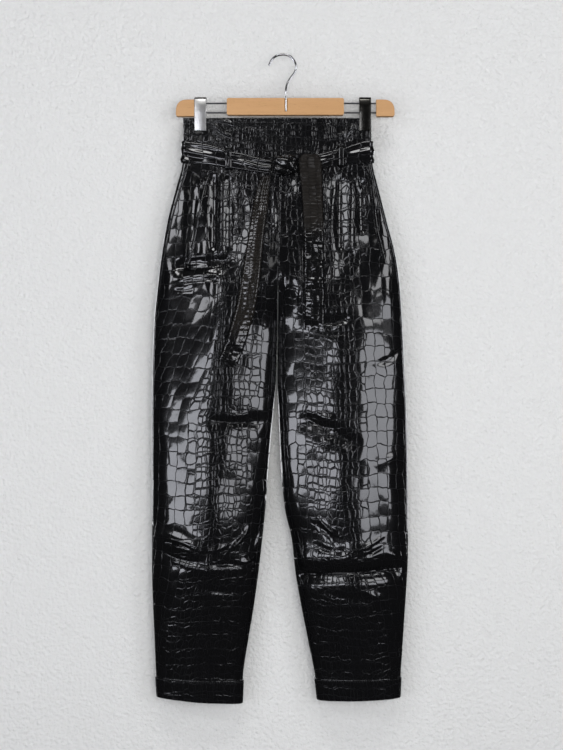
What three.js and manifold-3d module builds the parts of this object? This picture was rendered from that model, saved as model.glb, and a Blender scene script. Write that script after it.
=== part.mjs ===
// High-waisted leather trousers with a tie belt, hung flat by the waist from a clip hanger.
// Millimetres. X runs to the right as seen from the front, Y runs back and Z runs up.
// The origin is the inside of the top of the hook, where a peg or a rail holds it.
// Left and right are named as seen from the front.

import * as THREE from "three";
import { mergeVertices } from "three/addons/utils/BufferGeometryUtils.js";
import Module from "manifold-3d";

const wasm = await Module();
wasm.setup();

const LEFT = -1;
const RIGHT = 1;
const FRONT = -1;
const BACK = 1;

// Walls and clearances
const CLOTH = 1.6;
const BAND_CLOTH = 2.0;
const HEM_CLOTH = 1.5;
const SEAM_GAP = 0.3;
const LIFT = 0.4;

// Heights
const WAIST_TOP = -107.5;
const WAIST_SEAM = -187;
const FOLD_START = -202;
const FOLD_FULL = -222;
const CROTCH_START = -390;
const CROTCH = -484;
const SLOPE_START = -1030;
const HEM = -1101;
const HEM_TOP = -1066;

const BELT_BODY = 2.6;
const BELT_RIDGE = 1.3;
const BELT_LIFT = 0.9;

/** Rows of numbers as objects, one for each row, with the named columns. */
function table(names, rows) {
  return rows.map((row) => Object.fromEntries(names.map((name, i) => [name, row[i]])));
}

// The garment by height: x of the left and right outline, how far the front and the back stand from the
// middle plane, and the depth and width of the rounded outer edge.
const OUTLINE = table(["z", "left", "right", "front", "back", "edge", "round"], [
  [-107, -172.5, 151.5, 8, 7, 2.8, 2.8],
  [-147, -172.0, 151.5, 11, 9, 3.2, 3.4],
  [-187, -174.0, 154.0, 15, 12, 4.5, 6],
  [-230, -185.0, 164.0, 19, 15, 6, 10],
  [-283, -199.0, 177.6, 24, 18, 8, 15],
  [-351, -210.6, 194.5, 30, 22, 12, 24],
  [-395, -215.8, 200.4, 33, 24, 14, 28],
  [-453, -221.8, 204.2, 36, 26, 17, 32],
  [-529, -224.6, 207.8, 38, 28, 20, 36],
  [-613, -225.7, 211.5, 41, 29, 22, 38],
  [-703, -225.8, 213.5, 44, 31, 24, 40],
  [-829, -225.8, 214.5, 49, 33, 26, 42],
  [-878, -225.8, 213.6, 50, 33, 26, 42],
  [-902, -225.5, 212.4, 47, 31, 25, 40],
  [-942, -224.0, 209.7, 42, 28, 23, 38],
  [-1008, -221.2, 205.4, 34, 24, 20, 34],
  [-1065, -218.6, 201.8, 28, 21, 17, 30],
  [-1116, -215.4, 199.2, 25, 19, 15, 28],
]);

// The centre seam above the crotch and the inside of each leg below it, by height.
const INSIDE = table(["z", "left", "right"], [
  [-107, 0, 0],
  [-187, -4, -4],
  [-300, -7, -7],
  [-395, -9, -9],
  [-484, -10.6, -9.4],
  [-560, -12.6, -10.6],
  [-612, -17, -8.4],
  [-703, -25, -4.6],
  [-776, -30.3, 2],
  [-833, -36.1, 14.6],
  [-887, -42.4, 20.5],
  [-942, -49.8, 30],
  [-1008, -60.6, 43],
  [-1065, -69, 54.2],
  [-1116, -71.3, 60.2],
]);

// How far the side seam lies in front of the outline, by height.
const SEAM_ROLL = table(["z", "left", "right"], [
  [-107, 11, 8],
  [-260, 11, 8],
  [-480, 7, 6],
  [-1116, 6, 6],
]);

// The lower edge slopes a little: how far it drops below the hem's height at each end.
const HEM_DROP = table(["side", "outer", "inner"], [
  [LEFT, 1, 12],
  [RIGHT, 2, 6],
]);

// Soft folds, as lines on the front or the back: a positive height stands out, a negative one is a trough.
const FOLDS = table(["face", "x0", "z0", "x1", "z1", "width", "height"], [
  [FRONT, -105, -200, -104, -345, 7, 6],
  [FRONT, -118, -205, -119, -330, 6, -5],
  [FRONT, -133, -225, -136, -350, 8, 5],
  [FRONT, -91, -200, -93, -330, 7, -4],
  [FRONT, 99, -200, 98, -330, 7, -5],
  [FRONT, 116, -205, 115, -330, 8, 6],
  [FRONT, 133, -200, 135, -300, 7, -5],
  [FRONT, -178, -362, -100, -352, 9, -4],
  [FRONT, -180, -384, -110, -380, 10, 4],
  [FRONT, 66, -460, 103, -455, 10, -4],
  [FRONT, -112, -628, -48, -628, 12, -5],
  [FRONT, 44, -628, 116, -664, 14, -5],
  [FRONT, -222, -818, -150, -842, 14, 5],
  [FRONT, 34, -889, 192, -880, 13, -8],
  [FRONT, 44, -862, 185, -852, 20, 3],
  [BACK, -75, -205, -72, -310, 8, -3],
  [BACK, 62, -205, 60, -310, 8, -3],
  [BACK, -190, -452, -40, -500, 16, -5],
  [BACK, 180, -452, 30, -500, 16, -5],
  [BACK, -205, -560, -60, -545, 18, 4],
  [BACK, 195, -560, 50, -545, 18, 4],
  [BACK, -210, -872, -60, -884, 16, -5],
  [BACK, 200, -872, 40, -884, 16, -5],
]);

// Rows of points down a leg, closer where the cloth folds. Front and back share them at their seams.
const LEG_ROWS = [
  -200, -216, -238, -264, -296, -330, -352, -370, -390, -412, -434, -452, -470, -484, -498, -524,
  -560, -600, -628, -650, -690, -740, -790, -824, -850, -870, -886, -902, -930, -970, -1015, -1066,
];
const BAND_ROWS = [-118, -132, -147, -166];
// Share of the way across a front at each column, closer together over the pleats.
const FRONT_SHARES = [0, 0.07, 0.13, 0.185, 0.235, 0.285, 0.335, 0.385, 0.44, 0.52, 0.61, 0.71, 0.81, 0.91, 1];
const FRONT_COLUMNS = FRONT_SHARES.length - 1;
const WRAP_COLUMNS = 4;
const BACK_COLUMNS = 9;

// The slanted pocket mouths, from the belt down.
const POCKETS = {
  left: table(["x", "z"], [[-129, -199], [-138, -219], [-145, -247], [-152, -285], [-161, -330], [-169, -366]]),
  right: table(["x", "z"], [[146, -196], [155, -226], [159, -262], [163, -300], [170, -328], [177, -356]]),
};
const POCKET_STRIP = 7;

// The belt's middle line and width across the front, by distance from the centre.
const BELT_LEFT = table(["x", "z", "width"], [
  [-21, -193, 24], [-49, -188.5, 26], [-75, -183.5, 29], [-93, -180, 29], [-112, -175, 33], [-135, -170, 36], [-176, -166, 37],
]);
const BELT_RIGHT = table(["x", "z", "width"], [
  [27, -190, 24], [64, -184, 27], [85, -178, 28], [99, -175, 28], [122, -169.5, 34], [140, -166, 37], [156, -165.5, 37],
]);
const BELT_AROUND = { z: -165.8, width: 37 };
const BELT_TURN = [-8, -4, -1, 2, 5, 8, 13];
const BELT_ACROSS = 7;

// The belt's free ends, from the knot down: middle line, width and lean of the end.
const TAIL_LEFT = table(["x", "z", "width"], [
  [-29, -209, 15], [-34, -228, 21], [-39, -262, 25], [-45, -300, 26], [-50, -340, 28], [-56, -390, 31],
  [-63, -432, 32], [-73, -470, 33], [-84, -505, 34], [-93, -531, 33],
]);
const TAIL_RIGHT = table(["x", "z", "width"], [
  [45, -172, 37], [46, -186, 38], [47, -205, 37], [49, -235, 35], [51, -275, 34], [52, -320, 34], [52, -370, 34],
  [53, -420, 34], [53, -474, 34],
]);
const TAIL_COLUMNS = 4;
const TAIL_BODY = 2.2;
const TAIL_CROWN = 0.8;

const KNOT = { x: 3, z: -190.5, halfWidth: 22, halfHeight: 17, forward: 13, behind: 7 };

// Belt loops: side and face, x, upper and lower foot, width.
const LOOPS = table(["name", "face", "x", "upper", "lower", "width"], [
  ["belt_loop_front_left", FRONT, -94, -160, -199, 11],
  ["belt_loop_front_right", FRONT, 99, -156, -194, 9],
  ["belt_loop_back_left", BACK, -98, -141, -190, 10],
  ["belt_loop_back_middle", BACK, -6, -141, -190, 10],
  ["belt_loop_back_right", BACK, 82, -141, -190, 10],
]);
const LOOP_FOOT = 3;
const LOOP_CLOTH = 1.4;

// The hanger
const BAR = { left: -97, right: 104, top: -74, bottom: -102.7, halfDepth: 7, corner: 3 };
const GROOVE = { x: 4.6, width: 4.8, floor: -1.9, bottom: -97 };
const CAP = { width: 31.4, top: -76.5, bottom: -105, halfDepth: 7, round: 20 };
const CAP_INNER = { left: -153, right: 159.5 };
const ROD = { radius: 1.4, y: 0.8, upper: -82, lower: -98, seat: 14, clearance: 0.35 };
const CLIP = { width: 20, top: -72, bottom: -129.5, sheet: 1.2, belly: 6.2 };
const CLIPS = { left: { x: -142.5, jaw: 4.4 }, right: { x: 140.5, jaw: 3.9 } };
const WIRE = 1.9;
const HOOK_PATH = table(["x", "y", "z"], [
  [-24.4, 0, -16.9], [-19.8, 0, -7.2], [-12, 0, -0.4], [0, 0, 1.9], [10.4, 0, -0.4], [17.8, 0, -7.6],
  [21.8, 0, -18], [20.3, 0, -27.6], [15.4, 0, -34.6], [10, -0.6, -42.4], [6, -2.6, -51.6],
  [4.6, -4.1, -62], [4.6, -4.1, -78], [4.6, -4.1, -96.2],
]);

const COLOURS = {
  leather: { color: 0x0b0b0c, roughness: 0.25, metalness: 0 },
  wood: { color: 0xc9a67a, roughness: 0.55, metalness: 0 },
  chrome: { color: 0xc4c6c8, roughness: 0.15, metalness: 1 },
  steel: { color: 0x8b8c8e, roughness: 0.3, metalness: 1 },
};

const clamp = (value, low, high) => Math.min(Math.max(value, low), high);
const mix = (a, b, t) => a + (b - a) * t;

/** 0 before start, 1 after end and a soft step between them. */
function step(start, end, value) {
  const t = clamp((value - start) / (end - start), 0, 1);
  return t * t * (3 - 2 * t);
}

/** A smooth curve through a table's column that never passes its neighbouring values. */
function smoothCurve(rows, name, along = "z") {
  const at = rows.map((row) => row[along]);
  const value = rows.map((row) => row[name]);
  const gap = at.slice(1).map((a, i) => a - at[i]);
  const rise = gap.map((g, i) => (value[i + 1] - value[i]) / g);
  const last = rows.length - 1;
  const slope = value.map((_, i) => {
    if (i === 0) return rise[0];
    if (i === last) return rise[last - 1];
    if (rise[i - 1] * rise[i] <= 0) return 0;
    const before = 2 * gap[i] + gap[i - 1];
    const after = gap[i] + 2 * gap[i - 1];
    return (before + after) / (before / rise[i - 1] + after / rise[i]);
  });
  const way = Math.sign(gap[0]);
  return (place) => {
    let i = 0;
    while (i < last - 1 && (place - at[i + 1]) * way > 0) i += 1;
    const t = clamp((place - at[i]) / gap[i], 0, 1);
    const run = gap[i] * t * (1 - t);
    return mix(value[i], value[i + 1], t * t * (3 - 2 * t))
      + run * ((1 - t) * slope[i] - t * slope[i + 1]);
  };
}

const outline = {
  [LEFT]: smoothCurve(OUTLINE, "left"),
  [RIGHT]: smoothCurve(OUTLINE, "right"),
};
const inside = { [LEFT]: smoothCurve(INSIDE, "left"), [RIGHT]: smoothCurve(INSIDE, "right") };
const depth = { [FRONT]: smoothCurve(OUTLINE, "front"), [BACK]: smoothCurve(OUTLINE, "back") };
const seamRoll = { [LEFT]: smoothCurve(SEAM_ROLL, "left"), [RIGHT]: smoothCurve(SEAM_ROLL, "right") };
const edgeDepth = smoothCurve(OUTLINE, "edge");
const edgeWidth = smoothCurve(OUTLINE, "round");

/** Outside of one wall at height z, from the outline to the wall's inner end. Above the crotch the wall
 *  ends flat at the centre seam, below it turns in to the seam inside the leg. */
function wallLine(side, face, z) {
  const inward = -side;
  const turned = 1 - step(CROTCH, CROTCH_START, z);
  const angle = turned * Math.PI / 2;
  const edge = edgeDepth(z);
  const round = edgeWidth(z);
  const belly = depth[face](z) - edge;
  const outer = outline[side](z);
  const flatStart = outer + inward * round;
  const flatEnd = inside[side](z) - inward * (SEAM_GAP / 2 + round * Math.sin(angle));
  const swell = (q) => belly * (1 - Math.cos(Math.PI * (1 + turned) * q)) / 2;
  const points = [];
  const edgeSteps = 14;
  const flatSteps = 44;
  for (let i = 0; i <= edgeSteps; i += 1) {
    const phi = (i / edgeSteps) * Math.PI / 2;
    points.push([outer + inward * round * (1 - Math.cos(phi)), edge * Math.sin(phi)]);
  }
  for (let i = 1; i <= flatSteps; i += 1) {
    const q = i / flatSteps;
    points.push([mix(flatStart, flatEnd, q), edge + swell(q)]);
  }
  for (let i = 1; i <= edgeSteps && angle > 0.02; i += 1) {
    const phi = (i / edgeSteps) * angle;
    points.push([flatEnd + inward * round * Math.sin(phi), edge * Math.cos(phi) + swell(1)]);
  }
  return points.map(([x, y]) => [x, face * (y + SEAM_GAP / 2)]);
}

const rings = new Map();

/** One side's section at height z, from the front's inner end round the outline to the back's, with the
 *  length run so far at each point and the length at which it passes the outline. */
function halfRing(side, z) {
  const key = `${side} ${z.toFixed(2)}`;
  if (rings.has(key)) return rings.get(key);
  const front = wallLine(side, FRONT, z).reverse();
  const points = [...front, ...wallLine(side, BACK, z)];
  const run = [0];
  for (let i = 1; i < points.length; i += 1) {
    run.push(run[i - 1] + Math.hypot(points[i][0] - points[i - 1][0], points[i][1] - points[i - 1][1]));
  }
  const ring = { points, run, outline: run[front.length - 1], total: run[points.length - 1] };
  rings.set(key, ring);
  return ring;
}

/** How far the folds move the cloth out at a place on the front or the back. */
function foldHeight(face, x, z) {
  let height = 0;
  for (const fold of FOLDS) {
    if (fold.face !== face) continue;
    const dx = fold.x1 - fold.x0;
    const dz = fold.z1 - fold.z0;
    const t = clamp(((x - fold.x0) * dx + (z - fold.z0) * dz) / (dx * dx + dz * dz), 0, 1);
    const away = Math.hypot(x - fold.x0 - dx * t, z - fold.z0 - dz * t);
    height += fold.height * Math.exp(-((away / fold.width) ** 2));
  }
  return height * step(FOLD_START, FOLD_FULL, z);
}

/** The point at a length along one side's section at height z, moved out of the surface by out. */
function onRing(side, z, along, out) {
  const { points, run, outline: edge, total } = halfRing(side, z);
  const at = clamp(along, 0, total);
  let i = 1;
  while (i < run.length - 1 && run[i] < at) i += 1;
  const t = clamp((at - run[i - 1]) / Math.max(run[i] - run[i - 1], 1e-9), 0, 1);
  const x = mix(points[i - 1][0], points[i][0], t);
  const y = mix(points[i - 1][1], points[i][1], t);
  const before = points[Math.max(i - 2, 0)];
  const after = points[Math.min(i + 1, points.length - 1)];
  const turn = side / Math.hypot(after[0] - before[0], after[1] - before[1]);
  const normal = [turn * (after[1] - before[1]), turn * (before[0] - after[0])];
  const face = at < edge ? FRONT : BACK;
  const toSeam = face === FRONT ? at : total - at;
  const clear = step(9, 32, Math.abs(at - edge)) * step(0, 14, toSeam);
  const away = out + foldHeight(face, x, z) * clear;
  const moved = y + normal[1] * away;
  const kept = toSeam < 20 ? face * Math.max(moved * face, SEAM_GAP / 2) : moved;
  return new THREE.Vector3(x + normal[0] * away, kept, z);
}

/** The length along the front of a side's section at which it passes x. */
function frontLength(side, z, x) {
  const { points, run, outline: edge } = halfRing(side, z);
  let i = 1;
  while (run[i] < edge && (points[i][0] - x) * side < 0) i += 1;
  const span = points[i][0] - points[i - 1][0];
  return mix(run[i - 1], run[i], clamp((x - points[i - 1][0]) / span, 0, 1));
}

const sideOf = (x, z) => (x < inside[LEFT](z) ? LEFT : RIGHT);

/** A point on the front at x and z, moved out by out. */
function onFront(x, z, out) {
  const side = sideOf(x, z);
  return onRing(side, z, frontLength(side, z, x), out);
}

/** A point on the back at x and z, moved out by out. */
function onBack(x, z, out) {
  const side = sideOf(x, z);
  const ring = halfRing(side, z);
  let i = ring.points.length - 1;
  while (ring.run[i] > ring.outline && (ring.points[i][0] - x) * side < 0) i -= 1;
  return onRing(side, z, ring.run[i], out);
}

/** Triangles of a solid between an outer and an inner grid of points with the same rows and columns. A
 *  grid whose columns close into a ring has no side edges. */
function shell(outer, inner, ringed = false) {
  const rows = outer.length;
  const columns = outer[0].length;
  const flat = [...outer.flat(), ...inner.flat()];
  const at = (layer, row, column) => (layer * rows + row) * columns + (column % columns);
  const index = [];
  const quad = (a, b, c, d) => index.push(a, b, c, a, c, d);
  const spans = ringed ? columns : columns - 1;
  for (let r = 0; r < rows - 1; r += 1) {
    for (let c = 0; c < spans; c += 1) {
      quad(at(0, r, c), at(0, r + 1, c), at(0, r + 1, c + 1), at(0, r, c + 1));
      quad(at(1, r, c), at(1, r, c + 1), at(1, r + 1, c + 1), at(1, r + 1, c));
    }
    if (ringed) continue;
    quad(at(0, r, 0), at(1, r, 0), at(1, r + 1, 0), at(0, r + 1, 0));
    quad(at(0, r, spans), at(0, r + 1, spans), at(1, r + 1, spans), at(1, r, spans));
  }
  for (let c = 0; c < spans; c += 1) {
    quad(at(0, 0, c), at(0, 0, c + 1), at(1, 0, c + 1), at(1, 0, c));
    quad(at(0, rows - 1, c), at(1, rows - 1, c), at(1, rows - 1, c + 1), at(0, rows - 1, c + 1));
  }
  return outwards(flat, index);
}

/** A geometry from points and triangles, with its faces turned out. */
function outwards(points, index) {
  let volume = 0;
  for (let i = 0; i < index.length; i += 3) {
    const [a, b, c] = [points[index[i]], points[index[i + 1]], points[index[i + 2]]];
    volume += a.dot(new THREE.Vector3().crossVectors(b, c));
  }
  if (volume < 0) {
    for (let i = 0; i < index.length; i += 3) [index[i], index[i + 1]] = [index[i + 1], index[i]];
  }
  const geometry = new THREE.BufferGeometry();
  geometry.setAttribute("position", new THREE.Float32BufferAttribute(points.flatMap((p) => [p.x, p.y, p.z]), 3));
  geometry.setIndex(index);
  return geometry;
}

/** A grid of points, one for each row and column value. */
const grid = (rows, columns, point) => rows.map((row) => columns.map((column) => point(row, column)));

/** Even steps from a to b, both included. */
const steps = (a, b, count) => Array.from({ length: count + 1 }, (_, i) => mix(a, b, i / count));

/** Where a front or back panel's column lies along its side's section. */
function panelLength(side, face, z, column) {
  const ring = halfRing(side, z);
  const seam = ring.outline - seamRoll[side](z);
  if (face === FRONT) return mix(seam - SEAM_GAP / 2, 0, FRONT_SHARES[column]);
  const wrapEnd = ring.outline + edgeWidth(z);
  if (column <= WRAP_COLUMNS) return mix(seam + SEAM_GAP / 2, wrapEnd, column / WRAP_COLUMNS);
  return mix(wrapEnd, ring.total, (column - WRAP_COLUMNS) / BACK_COLUMNS);
}

const columnsOf = (face) => steps(0, 1, face === FRONT ? FRONT_COLUMNS : WRAP_COLUMNS + BACK_COLUMNS)
  .map((_, i) => i);

/** Height of a row at a point of a leg, where the rows near the hem follow its slope. */
function slopedHeight(side, z, x, low = HEM) {
  const drop = HEM_DROP.find((row) => row.side === side);
  const share = clamp((x - outline[side](z)) / (inside[side](z) - outline[side](z)), 0, 1);
  return z - mix(drop.outer, drop.inner, share) * clamp((z - SLOPE_START) / (low - SLOPE_START), 0, 1);
}

/** A leg panel's point, moved out of its surface by out. */
function onPanel(side, face, z, column, out) {
  const level = onRing(side, z, panelLength(side, face, z, column), 0);
  const height = slopedHeight(side, z, level.x);
  return onRing(side, height, panelLength(side, face, height, column), out);
}

/** A front or back leg panel from the waist seam to the hem. */
function legPanel(side, face) {
  const rows = [WAIST_SEAM - SEAM_GAP / 2, ...LEG_ROWS, HEM + 1.5];
  const columns = columnsOf(face);
  const wall = (out) => grid(rows, columns, (z, column) => onPanel(side, face, z, column, out));
  return shell(wall(0), wall(-CLOTH));
}

const bandRows = [WAIST_TOP, ...BAND_ROWS, WAIST_SEAM + SEAM_GAP / 2];

/** A front half of the waistband. */
function waistbandFront(side) {
  const wall = (out) => grid(bandRows, columnsOf(FRONT), (z, column) => onPanel(side, FRONT, z, column, out));
  return shell(wall(0), wall(-BAND_CLOTH));
}

/** The back of the waistband, from one side seam round to the other. */
function waistbandBack() {
  const columns = columnsOf(BACK);
  const half = (side, z, out) => columns.map((column) => onPanel(side, BACK, z, column, out));
  const wall = (out) => bandRows.map((z) => {
    const left = half(LEFT, z, out).slice(0, -1);
    return [...left, ...half(RIGHT, z, out).reverse()];
  });
  return shell(wall(0), wall(-BAND_CLOTH));
}

/** The turned-up hem round the end of a leg. */
function hemBand(side) {
  const rows = [HEM_TOP, (HEM_TOP + HEM) / 2, HEM];
  const front = columnsOf(FRONT).reverse();
  const back = columnsOf(BACK);
  const round = (z, out) => [
    ...front.map((column) => onPanel(side, FRONT, z, column, out)),
    ...back.slice(1).map((column) => onPanel(side, BACK, z, column, out)),
  ];
  const wall = (out) => rows.map((z) => round(z, out));
  return shell(wall(LIFT + HEM_CLOTH), wall(LIFT), true);
}

/** The strip behind the front opening. */
function flyUnderlap() {
  const rows = steps(WAIST_TOP - 4, -352, 9);
  const start = BAND_CLOTH + LIFT;
  const wall = (out) => grid(rows, [-16, -6, 4, 14, 24], (z, x) => onFront(x, z, out));
  return shell(wall(-start), wall(-start - 1.2));
}

/** Depth of the cloth's outermost point close to a place on the front, for what rests on it there. */
function restingDepth(x, z, reach = 7) {
  let low = Infinity;
  for (const dx of [-reach, -reach / 2, 0, reach / 2, reach]) {
    for (const dz of [-2 * reach, -reach, 0, reach, 2 * reach]) {
      low = Math.min(low, onFront(x + dx, z + dz, 0).y);
    }
  }
  return low;
}

/** The stitched edge of a slanted pocket. */
function pocketEdge(side, line) {
  const across = [0, -side * POCKET_STRIP];
  const wall = (out) => line.map(({ x, z }) => across.map((dx) => {
    const y = restingDepth(x + dx, z, 4) - LIFT - out;
    return new THREE.Vector3(x + dx, y, z);
  }));
  return shell(wall(1.1), wall(0));
}

/** Height of the belt's surface over the cloth, with its lengthwise gathers. */
function beltHeight(across, along) {
  const gathers = Math.cos(across * 6.3 + 0.9 * Math.sin(along / 17));
  return BELT_LIFT + BELT_BODY + BELT_RIDGE * gathers * (1 - 0.4 * across * across);
}

/** The belt round the waist, from one side of the knot round the back to the other. */
function beltBand() {
  const across = steps(-1, 1, BELT_ACROSS - 1);
  const halfOf = (side, rows) => {
    const height = smoothCurve(rows, "z", "x");
    const width = smoothCurve(rows, "width", "x");
    const start = rows[0].x;
    const { outline: edge, total } = halfRing(side, BELT_AROUND.z);
    const knotAt = frontLength(side, rows[0].z, start);
    const reachOf = [
      ...steps(knotAt, edge - 14, 13), ...BELT_TURN.map((d) => edge + d), ...steps(edge + 32, total - 6, 7),
    ];
    return reachOf.map((along) => {
      const x = onRing(side, BELT_AROUND.z, along, 0).x;
      const inFront = along < edge;
      const middle = inFront ? height(x) : BELT_AROUND.z;
      const half = (inFront ? width(x) : BELT_AROUND.width) / 2;
      return (v, out) => onRing(side, middle + half * v, along, out === 0 ? BELT_LIFT : beltHeight(v, along));
    });
  };
  const left = halfOf(LEFT, BELT_LEFT);
  const right = halfOf(RIGHT, BELT_RIGHT).reverse();
  const wall = (out) => grid(across, [...left, ...right], (v, column) => column(v, out));
  return shell(wall(1), wall(0));
}

/** The belt's knot: a tight blunt bundle, pinched once between its two lobes. */
function beltKnot() {
  const geometry = new THREE.SphereGeometry(1, 16, 10);
  const at = geometry.getAttribute("position");
  const seat = onFront(KNOT.x, KNOT.z, 0).y - KNOT.behind - 1;
  const blunt = (value) => Math.sign(value) * Math.abs(value) ** 0.72;
  for (let i = 0; i < at.count; i += 1) {
    const pinch = 1 - 0.1 * Math.exp(-(((at.getY(i) + 0.3) / 0.22) ** 2));
    const y = at.getZ(i);
    at.setXYZ(
      i,
      KNOT.x + blunt(at.getX(i)) * KNOT.halfWidth,
      seat - blunt(y) * (y > 0 ? KNOT.forward * pinch : KNOT.behind),
      KNOT.z + blunt(at.getY(i)) * KNOT.halfHeight,
    );
  }
  geometry.deleteAttribute("uv");
  geometry.deleteAttribute("normal");
  const merged = mergeVertices(geometry, 1e-4);
  const points = Array.from({ length: merged.getAttribute("position").count }, (_, i) => (
    new THREE.Vector3().fromBufferAttribute(merged.getAttribute("position"), i)));
  return outwards(points, [...merged.index.array]);
}

/** A free end of the belt, resting on the front and on the belt band where it crosses it. */
function beltTail(rows, overBand) {
  const middle = smoothCurve(rows, "x");
  const width = smoothCurve(rows, "width");
  const heights = steps(rows[0].z, rows[rows.length - 1].z, 16);
  const columns = steps(-1, 1, TAIL_COLUMNS - 1);
  const crossing = BELT_LIFT + BELT_BODY + BELT_RIDGE;
  const wall = (out) => heights.map((z) => columns.map((v) => {
    const x = middle(z) + (v * width(z)) / 2;
    const over = overBand ? crossing * (1 - step(-206, -240, z)) : 0;
    const body = out * (TAIL_BODY + TAIL_CROWN * (1 - v * v));
    return new THREE.Vector3(x, restingDepth(x, z) - LIFT - over - body, z);
  }));
  return shell(wall(1), wall(0));
}

/** A belt loop: foot, over the belt, foot. */
function beltLoop({ face, x, upper, lower, width }) {
  const place = face === FRONT ? onFront : onBack;
  const top = BELT_LIFT + BELT_BODY + BELT_RIDGE + 0.6;
  const path = [
    [upper + LOOP_FOOT, LIFT], [upper, LIFT], [upper - 1, top * 0.6], [upper - 4, top],
    [(upper + lower) / 2, top], [lower + 4, top], [lower + 1, top * 0.6], [lower, LIFT], [lower - LOOP_FOOT, LIFT],
  ];
  const wall = (out) => grid(path, [x - width / 2, x, x + width / 2], ([z, lift], at) => place(at, z, lift + out));
  return shell(wall(LOOP_CLOTH), wall(0));
}

/** A manifold solid of a three.js geometry. */
function solid(geometry) {
  geometry.deleteAttribute("normal");
  geometry.deleteAttribute("uv");
  const merged = mergeVertices(geometry, 1e-4);
  return new wasm.Manifold(new wasm.Mesh({
    numProp: 3,
    vertProperties: new Float32Array(merged.getAttribute("position").array),
    triVerts: new Uint32Array(merged.index.array),
  }));
}

/** A three.js geometry of a manifold solid. */
function geometryOf(manifold) {
  const mesh = manifold.getMesh();
  const geometry = new THREE.BufferGeometry();
  geometry.setAttribute("position", new THREE.Float32BufferAttribute(mesh.vertProperties, 3));
  geometry.setIndex([...mesh.triVerts]);
  return geometry;
}

/** A flat shape in X and Z given thickness in Y, from front to back. */
function slab(shape, front, back, curveSegments = 4) {
  const geometry = new THREE.ExtrudeGeometry(shape, { depth: back - front, bevelEnabled: false, curveSegments });
  return geometry.rotateX(Math.PI / 2).translate(0, back, 0);
}

/** A rectangle with round corners. */
function roundedBox(left, right, bottom, top, corner) {
  const shape = new THREE.Shape();
  shape.moveTo(left + corner, bottom);
  shape.lineTo(right - corner, bottom);
  shape.absarc(right - corner, bottom + corner, corner, -Math.PI / 2, 0, false);
  shape.lineTo(right, top - corner);
  shape.absarc(right - corner, top - corner, corner, 0, Math.PI / 2, false);
  shape.lineTo(left + corner, top);
  shape.absarc(left + corner, top - corner, corner, Math.PI / 2, Math.PI, false);
  shape.lineTo(left, bottom + corner);
  shape.absarc(left + corner, bottom + corner, corner, Math.PI, 1.5 * Math.PI, false);
  return shape;
}

/** A round rod or drill along X. */
function rodAlongX(left, right, z, radius, sides = 10) {
  const rod = new THREE.CylinderGeometry(radius, radius, right - left, sides);
  return rod.rotateZ(Math.PI / 2).translate((left + right) / 2, ROD.y, z);
}

const rodEnds = { left: CAP_INNER.left - ROD.seat, right: CAP_INNER.right + ROD.seat };

/** A wooden piece with both rods' holes drilled through it, up to the rods' ends. */
function drilled(geometry) {
  let piece = solid(geometry);
  for (const z of [ROD.upper, ROD.lower]) {
    const slack = ROD.clearance;
    piece = piece.subtract(solid(rodAlongX(rodEnds.left - slack, rodEnds.right + slack, z, ROD.radius + slack)));
  }
  return piece;
}

/** The wooden bar, with the rods' holes and the groove for the hook's shank. */
function hangerBar() {
  const shape = roundedBox(BAR.left, BAR.right, BAR.bottom, BAR.top, BAR.corner);
  const bar = drilled(slab(shape, -BAR.halfDepth, BAR.halfDepth));
  const half = GROOVE.width / 2;
  const cut = roundedBox(GROOVE.x - half, GROOVE.x + half, GROOVE.bottom, BAR.top + 5, 1);
  return geometryOf(bar.subtract(solid(slab(cut, -BAR.halfDepth - 1, GROOVE.floor, 1))));
}

/** A wooden end cap, its upper outer corner rounded. */
function hangerCap(side) {
  const inner = side === LEFT ? CAP_INNER.left : CAP_INNER.right;
  const outer = inner + side * CAP.width;
  const shape = new THREE.Shape();
  shape.moveTo(inner, CAP.bottom);
  shape.lineTo(inner, CAP.top);
  shape.lineTo(outer - side * CAP.round, CAP.top);
  shape.quadraticCurveTo(outer, CAP.top, outer, CAP.top - CAP.round);
  shape.lineTo(outer, CAP.bottom + 2);
  shape.lineTo(outer - side * 2, CAP.bottom);
  return geometryOf(drilled(slab(shape, -CAP.halfDepth, CAP.halfDepth, 8)));
}

/** A sprung clip of bent sheet: over the rods and down to a jaw on each face of the waistband. */
function hangerClip({ x, jaw }) {
  const { sheet, belly, top, bottom } = CLIP;
  const half = table(["y", "z"], [
    [jaw, bottom], [jaw, bottom + 20], [belly, bottom + 30], [belly, top - 5], [belly - 2, top - 1.6], [belly - 5, top],
  ]);
  const front = half.map(({ y, z }) => [-y - sheet, z]);
  const back = half.map(({ y, z }) => [y + sheet, z]).reverse();
  const within = half.map(({ y, z }) => [y, Math.min(z, top - sheet)]);
  const underside = [...within, ...within.map(([y, z]) => [-y, z]).reverse()];
  const outer = [...front, ...back];
  const shape = new THREE.Shape([...outer, ...underside].map(([y, z]) => new THREE.Vector2(y, z)));
  const geometry = new THREE.ExtrudeGeometry(shape, { depth: CLIP.width, bevelEnabled: false });
  geometry.rotateX(Math.PI / 2).rotateZ(Math.PI / 2);
  return geometry.translate(x - CLIP.width / 2, 0, 0);
}

/** The wire hook, swept along its line. */
function hangerHook() {
  const path = new THREE.CatmullRomCurve3(HOOK_PATH.map(({ x, y, z }) => new THREE.Vector3(x, y, z)), false, "centripetal");
  const wire = new THREE.Shape();
  wire.absarc(0, 0, WIRE, 0, 2 * Math.PI, false);
  return new THREE.ExtrudeGeometry(wire, { extrudePath: path, steps: 40, curveSegments: 4, bevelEnabled: false });
}

const trousers = new THREE.Group();

/** Adds a named piece in its material. */
function add(name, geometry, look) {
  const mesh = new THREE.Mesh(geometry, new THREE.MeshStandardMaterial(COLOURS[look]));
  mesh.name = name;
  trousers.add(mesh);
}

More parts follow.
